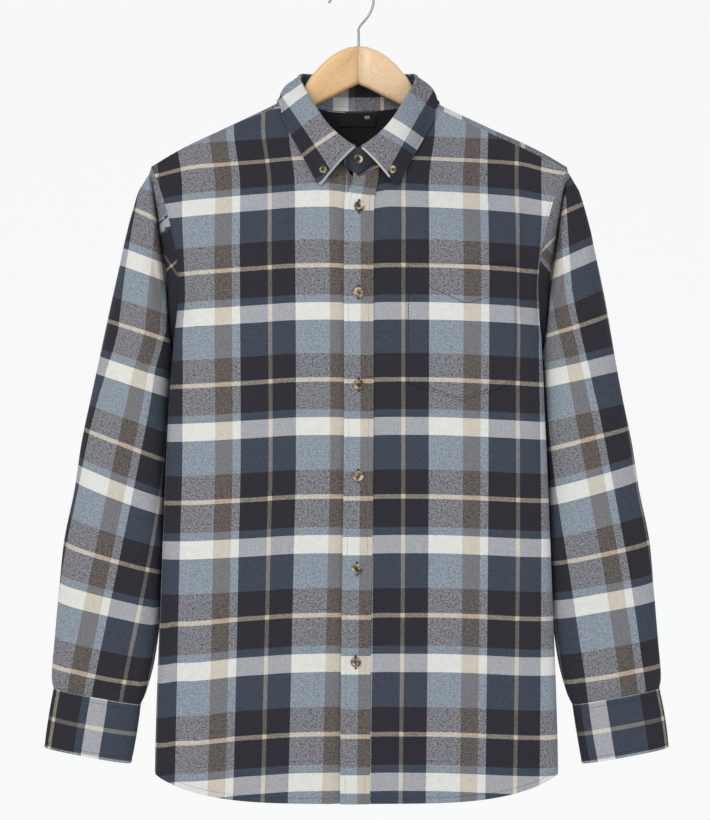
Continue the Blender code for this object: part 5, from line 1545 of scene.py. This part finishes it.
bodyPieces = (
    (frontLeft, left, "front_left", (-1,)),
    (frontRight, right, "front_right", (0,)),
    (backPiece, back, "back", (-1, 0)),
)
for piece, grid, word, edges in bodyPieces:
    aboveArm = grid["rows"] > seams["aboveArm"]
    besides = [besideColumn(grid["points"], edge, aboveArm) for edge in edges]
    sewOn(piece, word + "_stitching", [hemLine(grid["points"])] + besides)

yokeAcross = between(yokeColumns, yokePlaces)
onShoulder = np.abs(yokeAcross) > shirt["neckHalf"] - 0.0001
topLine, topTurns = rowLine(yoke["points"], yokeNormals, len(yoke["points"]) - seams["yokeTop"])
yokeLines = [rowLine(yoke["points"], yokeNormals, seams["yokeRow"])]
for chosen in (onShoulder & (yokeAcross > 0), onShoulder & (yokeAcross <= 0)):
    yokeLines.append((topLine[chosen], topTurns[chosen]))
sewOn(yokePiece, "yoke_stitching", yokeLines)
for side, word in sides:
    made = cuffs[side]
    surface = (made["points"], made["normals"])
    inset = cuff["stitchIn"] / cuff["tall"] * (cuff["rows"] - 1)
    sewOn(made["piece"], "cuff_%s_stitching" % word,
          [rowLine(*surface, inset), rowLine(*surface, cuff["rows"] - 1 - inset),
           columnLine(*surface, 2.0, 4, -4), columnLine(*surface, cuff["columns"] - 3.0, 4, -4)])
    made = slits[side]
    surface = (made["points"], made["normals"])
    sewOn(made["piece"], "sleeve_placket_%s_stitching" % word,
          [columnLine(*surface, at) for at in (1.0, slit["columns"] - 2.0)])


# A line on the leaf a given distance in from its outer edge
def leafLine(depth):
    flatRows = collar["flatRows"]
    reach = np.linalg.norm(leafPoints[0] - leafPoints[:flatRows], axis=-1)
    line, turns = [], []
    for k in range(collar["leafColumns"]):
        row = float(np.interp(depth, reach[:, k], np.arange(flatRows)))
        n = min(int(row), flatRows - 2)
        line.append(mix(leafPoints[n, k], leafPoints[n + 1, k], row - n))
        turns.append(leafNormals[n, k])
    return np.array(line), np.array(turns)


# The label is sewn near its upper edge, on the skin that faces into the neck
def labelLine():
    skin = labelPoints - gridNormals(labelPoints) * label["cloth"]
    turns = gridNormals(skin)
    return rowLine(skin + turns * label["stitchIn"], turns, label["stitchRow"])


edgeLine, edgeTurns = leafLine(collar["stitchIn"])
leadingLines = [columnLine(leafPoints, leafNormals, at, 3, 28) for at in (5.0, collar["leafColumns"] - 6.0)]
sewOn(leafPiece, "collar_leaf_stitching", [(edgeLine[9:-9], edgeTurns[9:-9])] + leadingLines)
innerStand = standPoints - standNormals * collar["cloth"]
sewOn(standPiece, "collar_stand_stitching",
      [rowLine(standPoints, standNormals, seams["standRow"]),
       rowLine(innerStand, -standNormals, seams["standRow"], *seams["standInside"])])
sewOn(labelPiece, "neck_label_stitching", [labelLine()])
print("sewing done")

# Buttons
button = {"front": 0.0115, "frontThick": 0.0026, "small": 0.0100, "smallThick": 0.0022,
          "collar": 0.0086, "collarThick": 0.0019, "clear": 0.0009, "collarDown": 0.74,
          "hole": 0.00085, "holeApart": 0.0016, "holeSpread": 1.15, "rim": 0.16,
          "collarShare": 0.045, "standUp": 0.62, "standAside": 0.0010, "standOut": 0.0010,
          # insets as shares of the diameter, each with its drop as a share of the thickness
          "face": ((0.11, 0.0), (0.045, 0.24), (0.06, 0.06)), "back": ((0.10, 0.10),)}
buttonThread = {"width": 0.00042, "height": 0.74, "strands": 3, "strandWidth": 0.0004, "apart": 0.00035}
# how far a buttonhole passes its button, and half a bar's length as a share of the diameter
buttonhole = {"beyond": 0.0020, "half": 0.105, "bars": 26, "width": 0.00060, "under": 0.00045}
frontButtonHeights = (-0.2657, -0.3612, -0.4640, -0.5665, -0.6710, -0.7760)
horn = hornFinish()


def selectOnly(made):
    bpy.ops.object.select_all(action="DESELECT")
    made.select_set(True)
    bpy.context.view_layer.objects.active = made


# Goes into edit mode with the faces that look up (1) or down (-1) selected
def editFaces(made, side):
    bpy.ops.object.mode_set(mode="EDIT")
    bpy.ops.mesh.select_mode(type="FACE")
    bpy.ops.mesh.select_all(action="DESELECT")
    bpy.ops.object.mode_set(mode="OBJECT")
    for face in made.data.polygons:
        face.select = face.normal.z * side > 0.9
    bpy.ops.object.mode_set(mode="EDIT")


def drillHole(made, x, y, thickness):
    bpy.ops.object.select_all(action="DESELECT")
    bpy.ops.mesh.primitive_cylinder_add(vertices=14, radius=button["hole"], depth=thickness * 4,
                                        location=(x, y, thickness / 2))
    drill = bpy.context.object
    bpy.context.view_layer.objects.active = made
    cut = made.modifiers.new("hole", "BOOLEAN")
    cut.operation = "DIFFERENCE"
    cut.solver = "EXACT"
    cut.object = drill
    bpy.ops.object.modifier_apply(modifier="hole")
    bpy.data.objects.remove(drill, do_unlink=True)


# One button, turned and drilled at the origin, facing +Z
def turnButton(diameter, thickness):
    bpy.ops.object.select_all(action="DESELECT")
    bpy.ops.mesh.primitive_cylinder_add(vertices=36, radius=diameter / 2, depth=thickness,
                                        location=(0, 0, thickness / 2))
    made = bpy.context.object
    for side, steps in ((1, button["face"]), (-1, button["back"])):
        editFaces(made, side)
        for inset, drop in steps:
            bpy.ops.mesh.inset(thickness=diameter * inset)
            bpy.ops.transform.translate(value=(0, 0, -thickness * drop))
    bpy.ops.object.mode_set(mode="OBJECT")
    bevel = made.modifiers.new("rim", "BEVEL")
    bevel.width = thickness * button["rim"]
    bevel.segments = 3
    bevel.limit_method = "ANGLE"
    bevel.angle_limit = math.radians(35)
    bpy.ops.object.modifier_apply(modifier="rim")
    apart = button["holeApart"] / 2 * diameter / button["front"] * button["holeSpread"]
    for x in (-apart, apart):
        for y in (-apart, apart):
            drillHole(made, x, y, thickness)
    selectOnly(made)
    bpy.ops.object.shade_smooth_by_angle(angle=math.radians(38))
    return made


# Thread through the four holes, and the slit that the button came through, as small bars
def threadBars(diameter, thickness, slitted):
    apart = button["holeApart"] / 2 * diameter / button["front"] * button["holeSpread"]
    face = thickness * buttonThread["height"]
    bars = [((-side * apart, -apart, face), (side * apart, apart, face), buttonThread["width"])
            for side in (1, -1)]
    for k in range(buttonThread["strands"]):
        x = (k - 1) * buttonThread["apart"]
        bars.append(((x, -0.0012, -0.0012), (x * 0.7, -0.0010, thickness * 0.5), buttonThread["strandWidth"]))
    if slitted:
        end, half = diameter / 2 + buttonhole["beyond"], diameter * buttonhole["half"]
        low = -buttonhole["under"]
        for y in np.linspace(end, -end, buttonhole["bars"]):
            bars.append(((-half, y, low), (half, y, low), buttonhole["width"]))
    vertices, faces = [], []
    for start, end, width in bars:
        start, end = np.array(start), np.array(end)
        way = (end - start) / np.linalg.norm(end - start)
        one = np.cross(way, (0.31, 0.17, 0.93))
        one /= np.linalg.norm(one)
        two = np.cross(way, one)
        base = len(vertices)
        for along, thick in ((0.0, 0.6), (0.2, 1.0), (0.8, 1.0), (1.0, 0.6)):
            place = mix(start, end, along)
            for k in range(6):
                turn = math.pi * k / 3
                vertices.append(place + (one * math.cos(turn) + two * math.sin(turn)) * width / 2 * thick)
        for ring in (0, 6, 12):
            for k in range(6):
                here, following = base + ring + k, base + ring + (k + 1) % 6
                faces.append((here, following, following + 6, here + 6))
        faces.append(tuple(base + k for k in range(6))[::-1])
        faces.append(tuple(base + 18 + k for k in range(6)))
    return np.array(vertices), faces


masters = {kind: turnButton(button[kind], button[kind + "Thick"]) for kind in ("front", "small", "collar")}


def placeButton(node, kind, foot, outward, slitted, spin):
    diameter, thick = button[kind], button[kind + "Thick"]
    upright = Vector(outward).to_track_quat("Z", "Y").to_matrix().to_4x4()
    place = Matrix.Translation(Vector(foot)) @ upright
    mesh = masters[kind].data.copy()
    mesh.transform(place @ Matrix.Rotation(spin, 4, "Z"))
    mesh.materials.clear()
    mesh.materials.append(horn)
    made = newObject(node + "_horn", mesh)
    vertices, faces = threadBars(diameter, thick, slitted)
    threadMesh = bpy.data.meshes.new(node + "_thread")
    threadMesh.from_pydata([(place @ Vector(v))[:] for v in vertices], [], faces)
    threadMesh.materials.append(cloths["brownThread"])
    threadMesh.shade_smooth()
    thread = newObject(node + "_thread", threadMesh)
    for piece in (made, thread):
        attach(piece, "root")
    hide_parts(node)


def gridPlace(points, normals, wantedX, wantedZ):
    away = (points[..., 0] - wantedX) ** 2 + (points[..., 2] - wantedZ) ** 2
    j, i = np.unravel_index(np.argmin(away), away.shape)
    return points[j, i], normals[j, i]


for n, height in enumerate(frontButtonHeights):
    wantedX = shirt["centre"] + float(placketMiddle(height))
    point, normal = gridPlace(placketPoints, placketNormals, wantedX, height)
    foot = np.array((wantedX, point[1], height)) + normal * button["clear"]
    placeButton("button_front_%d" % (n + 1), "front", foot, normal, True, 0.5 * n)
low = frontPoint(np.array([0.0]), np.array([shirt["neckFront"]]), out=shirt["cloth"] + gap)[0]
middle = mix(low, foldPoint(np.array([0.0]))[0], button["standUp"])
middle = middle + np.array((button["standAside"], -button["clear"] - button["standOut"], 0))
placeButton("button_stand", "small", middle, (0, -1, 0.05), True, 0.4)
leftShare = button["collarShare"]
for node, share in (("button_collar_left", leftShare), ("button_collar_right", 2 - leftShare)):
    downs = button["collarDown"] + np.array((-0.02, 0.0, 0.02))
    patch = leafGrid(np.array([share - 0.02, share, share + 0.02]), downs)
    normal = np.cross(patch[1, 2] - patch[1, 0], patch[2, 1] - patch[0, 1])
    normal = normal / np.linalg.norm(normal) * -np.sign(normal[1])
    placeButton(node, "collar", patch[1, 1] + normal * button["clear"], normal, True, 1.0)
for side, word in sides:
    angle = cuff["lapStart"] + cuff["lap"] * 0.5
    over = cuff["wall"] + 2 * gap
    spots = cuffPoint(side, np.array([angle - 3, angle, angle + 3, angle, angle]),
                      np.array([0.5, 0.5, 0.5, 0.4, 0.6]), np.full(5, over))
    normal = np.cross(spots[2] - spots[0], spots[4] - spots[3])
    normal = normal / np.linalg.norm(normal) * np.sign(normal[1])
    placeButton("button_cuff_" + word, "small", spots[1] + normal * button["clear"], normal, False, 0.8)
for master in masters.values():
    bpy.data.objects.remove(master, do_unlink=True)
print("buttons sewn on")

# Hanger and hook
hanger = {
    "hanger_left": {"climb": -0.62, "light": (253, 224, 184), "deep": (222, 182, 134)},
    "hanger_right": {"climb": 0.62, "light": (253, 214, 160), "deep": (226, 172, 112)},
}


# A smooth copy of a hard node, merged first so that its faces join
def smoothCopy(node, name, material, angle):
    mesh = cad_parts[node].data.copy()
    made = newObject(name, mesh)
    selectOnly(made)
    bpy.ops.object.mode_set(mode="EDIT")
    bpy.ops.mesh.select_all(action="SELECT")
    bpy.ops.mesh.remove_doubles(threshold=0.00002)
    bpy.ops.mesh.select_all(action="DESELECT")
    bpy.ops.object.mode_set(mode="OBJECT")
    bpy.ops.object.shade_smooth_by_angle(angle=math.radians(angle))
    mesh.materials.clear()
    mesh.materials.append(material)
    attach(made, "root")
    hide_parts(node)
    return made


for side, word in sides:
    node = "hanger_" + word
    wood = smoothCopy(node, node + "_wood", woodFinish("turned beech " + word, **hanger[node]), 32)
    joinAt = side * min(side * corner.co.x for corner in wood.data.vertices)
    for corner in wood.data.vertices:               # the two halves meet without a gap to see through
        if abs(corner.co.x - joinAt) < 0.0003:
            corner.co.x -= side * 0.00013
hook = smoothCopy("hook", "hook_wire", steelFinish(), 60)
finer = hook.modifiers.new("round wire", "SUBSURF")
finer.levels = finer.render_levels = 1
print("hanger and hook made")

# What each piece stands for: its node, flat size, area where it isn't the flat size's, how it is held
# and what it rests on
standsFor = {
    "shirt_front_left": ("front_left", (0.2600, 0.7900), 0.1760, "hung", ["hanger_left_wood"]),
    "shirt_front_right": ("front_right", (0.2600, 0.7900), 0.1740, "hung", ["hanger_right_wood"]),
    "shirt_back": ("back", (0.5000, 0.7200), 0.3250, "hung", ["hanger_left_wood", "hanger_right_wood"]),
    "shirt_yoke": ("yoke", (0.5200, 0.1400), 0.0450, "hung", ["hanger_left_wood", "hanger_right_wood"]),
    "yoke_lining_cloth": ("yoke_lining", (0.3600, 0.1000), 0.0290, "hung", ["shirt_yoke"]),
    "neck_label_tape": ("neck_label", (0.0440, 0.0115), None, "hung", ["yoke_lining_cloth"]),
    "front_placket": ("placket", (0.0340, 0.7200), None, "hung", ["shirt_front_left"]),
    "chest_pocket": ("pocket", (0.1230, 0.1520), 0.0175, "hung", ["shirt_front_left"]),
    "sleeve_left_cloth": ("sleeve_left", (0.3000, 0.6200), 0.1400, "hung", ["shirt_front_left"]),
    "sleeve_right_cloth": ("sleeve_right", (0.3000, 0.6200), 0.1400, "hung", ["shirt_front_right"]),
    "cuff_left_cloth": ("cuff_left", (0.2500, 0.0690), None, "hung", ["sleeve_left_cloth"]),
    "cuff_right_cloth": ("cuff_right", (0.2500, 0.0690), None, "hung", ["sleeve_right_cloth"]),
    "sleeve_placket_left_cloth":
        ("sleeve_placket_left", (0.0125, 0.1000), None, "hung", ["sleeve_left_cloth"]),
    "sleeve_placket_right_cloth":
        ("sleeve_placket_right", (0.0125, 0.1000), None, "hung", ["sleeve_right_cloth"]),
    "collar_leaf_cloth": ("collar_leaf", (0.4400, 0.0800), 0.0240, "folded", ["collar_stand_cloth"]),
    "collar_stand_cloth": ("collar_stand", (0.4400, 0.0500), 0.0150, "folded", ["shirt_yoke"]),
}
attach(tabPiece, "root")
for name, (node, flat, area, held, below) in standsFor.items():
    piece = bpy.data.objects[name]
    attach(piece, "root")
    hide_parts(node)
    going = [sewing[name]] if name in sewing else []
    if name == "neck_label_tape":
        going.append(tabPiece)

# Room, light and camera
room = {"paper": (0.88, 0.88, 0.88, 1), "floorHeight": -2.20, "wallBehind": 5.0, "wallTop": 8.0, "half": 12.0,
        "floorGlow": 0.78, "wallGlow": 0.82, "sky": (0.93, 0.95, 1.0, 1), "skyStrength": 0.485}
lamps = {
    "key": {"place": (-1.6, -2.6, 1.1), "aim": (0, 0, -0.36), "size": 1.8, "energy": 46.0,
            "colour": (1.0, 0.985, 0.96)},
    "fill": {"place": (2.2, -2.2, -0.2), "aim": (0, 0, -0.5), "size": 2.2, "energy": 14.0,
             "colour": (0.96, 0.98, 1.0)},
}
camera = {"place": (0.00264, -2.05, -0.4925), "lens": 90.54, "sensor": 36.0}


def paperSheet(name, corners, glow):
    made = Finish(name + " paper")
    fibre = made.noise(made.objectPlace(), 60.0, 2.0)
    colour = made.scaled(room["paper"], 0.995 + fibre * 0.01)
    made.fill(Base_Color=made.scaled(colour, 0.35), Roughness=0.95, Specular_IOR_Level=0.0,
              Emission_Color=room["paper"], Emission_Strength=glow)
    mesh = bpy.data.meshes.new(name)
    mesh.from_pydata(corners, [], [(0, 1, 2, 3)])
    mesh.materials.append(made.material)
    newObject(name, mesh)


far, wide, low, high = room["wallBehind"], room["half"], room["floorHeight"], room["wallTop"]
paperSheet("studio_floor", [(-wide, -wide, low), (wide, -wide, low), (wide, far, low), (-wide, far, low)],
           room["floorGlow"])
paperSheet("studio_wall", [(-wide, far, low), (wide, far, low), (wide, far, high), (-wide, far, high)],
           room["wallGlow"])

bpy.context.scene.view_settings.view_transform = "Standard"
world = bpy.data.worlds.new("studio")
world.use_nodes = True
sky = world.node_tree.nodes["Background"]
sky.inputs[0].default_value = room["sky"]
sky.inputs[1].default_value = room["skyStrength"]
bpy.context.scene.world = world


def softLight(name, place, aim, size, energy, colour):
    light = bpy.data.lights.new(name, "AREA")
    light.shape = "SQUARE"
    light.size = size
    light.energy = energy
    light.color = colour
    lamp = newObject(name, light)
    lamp.location = place
    lamp.rotation_mode = "QUATERNION"
    lamp.rotation_quaternion = (Vector(aim) - Vector(place)).to_track_quat("-Z", "Y")


for name, lamp in lamps.items():
    softLight(name, **lamp)

cameraData = bpy.data.cameras.new("camera")
cameraData.lens = camera["lens"]
cameraData.sensor_width = camera["sensor"]
cameraData.sensor_fit = "HORIZONTAL"
cameraObject = newObject("camera", cameraData)
cameraObject.location = camera["place"]
cameraObject.rotation_euler = (math.pi / 2, 0, 0)
bpy.context.scene.camera = cameraObject
print("room, light and camera set")
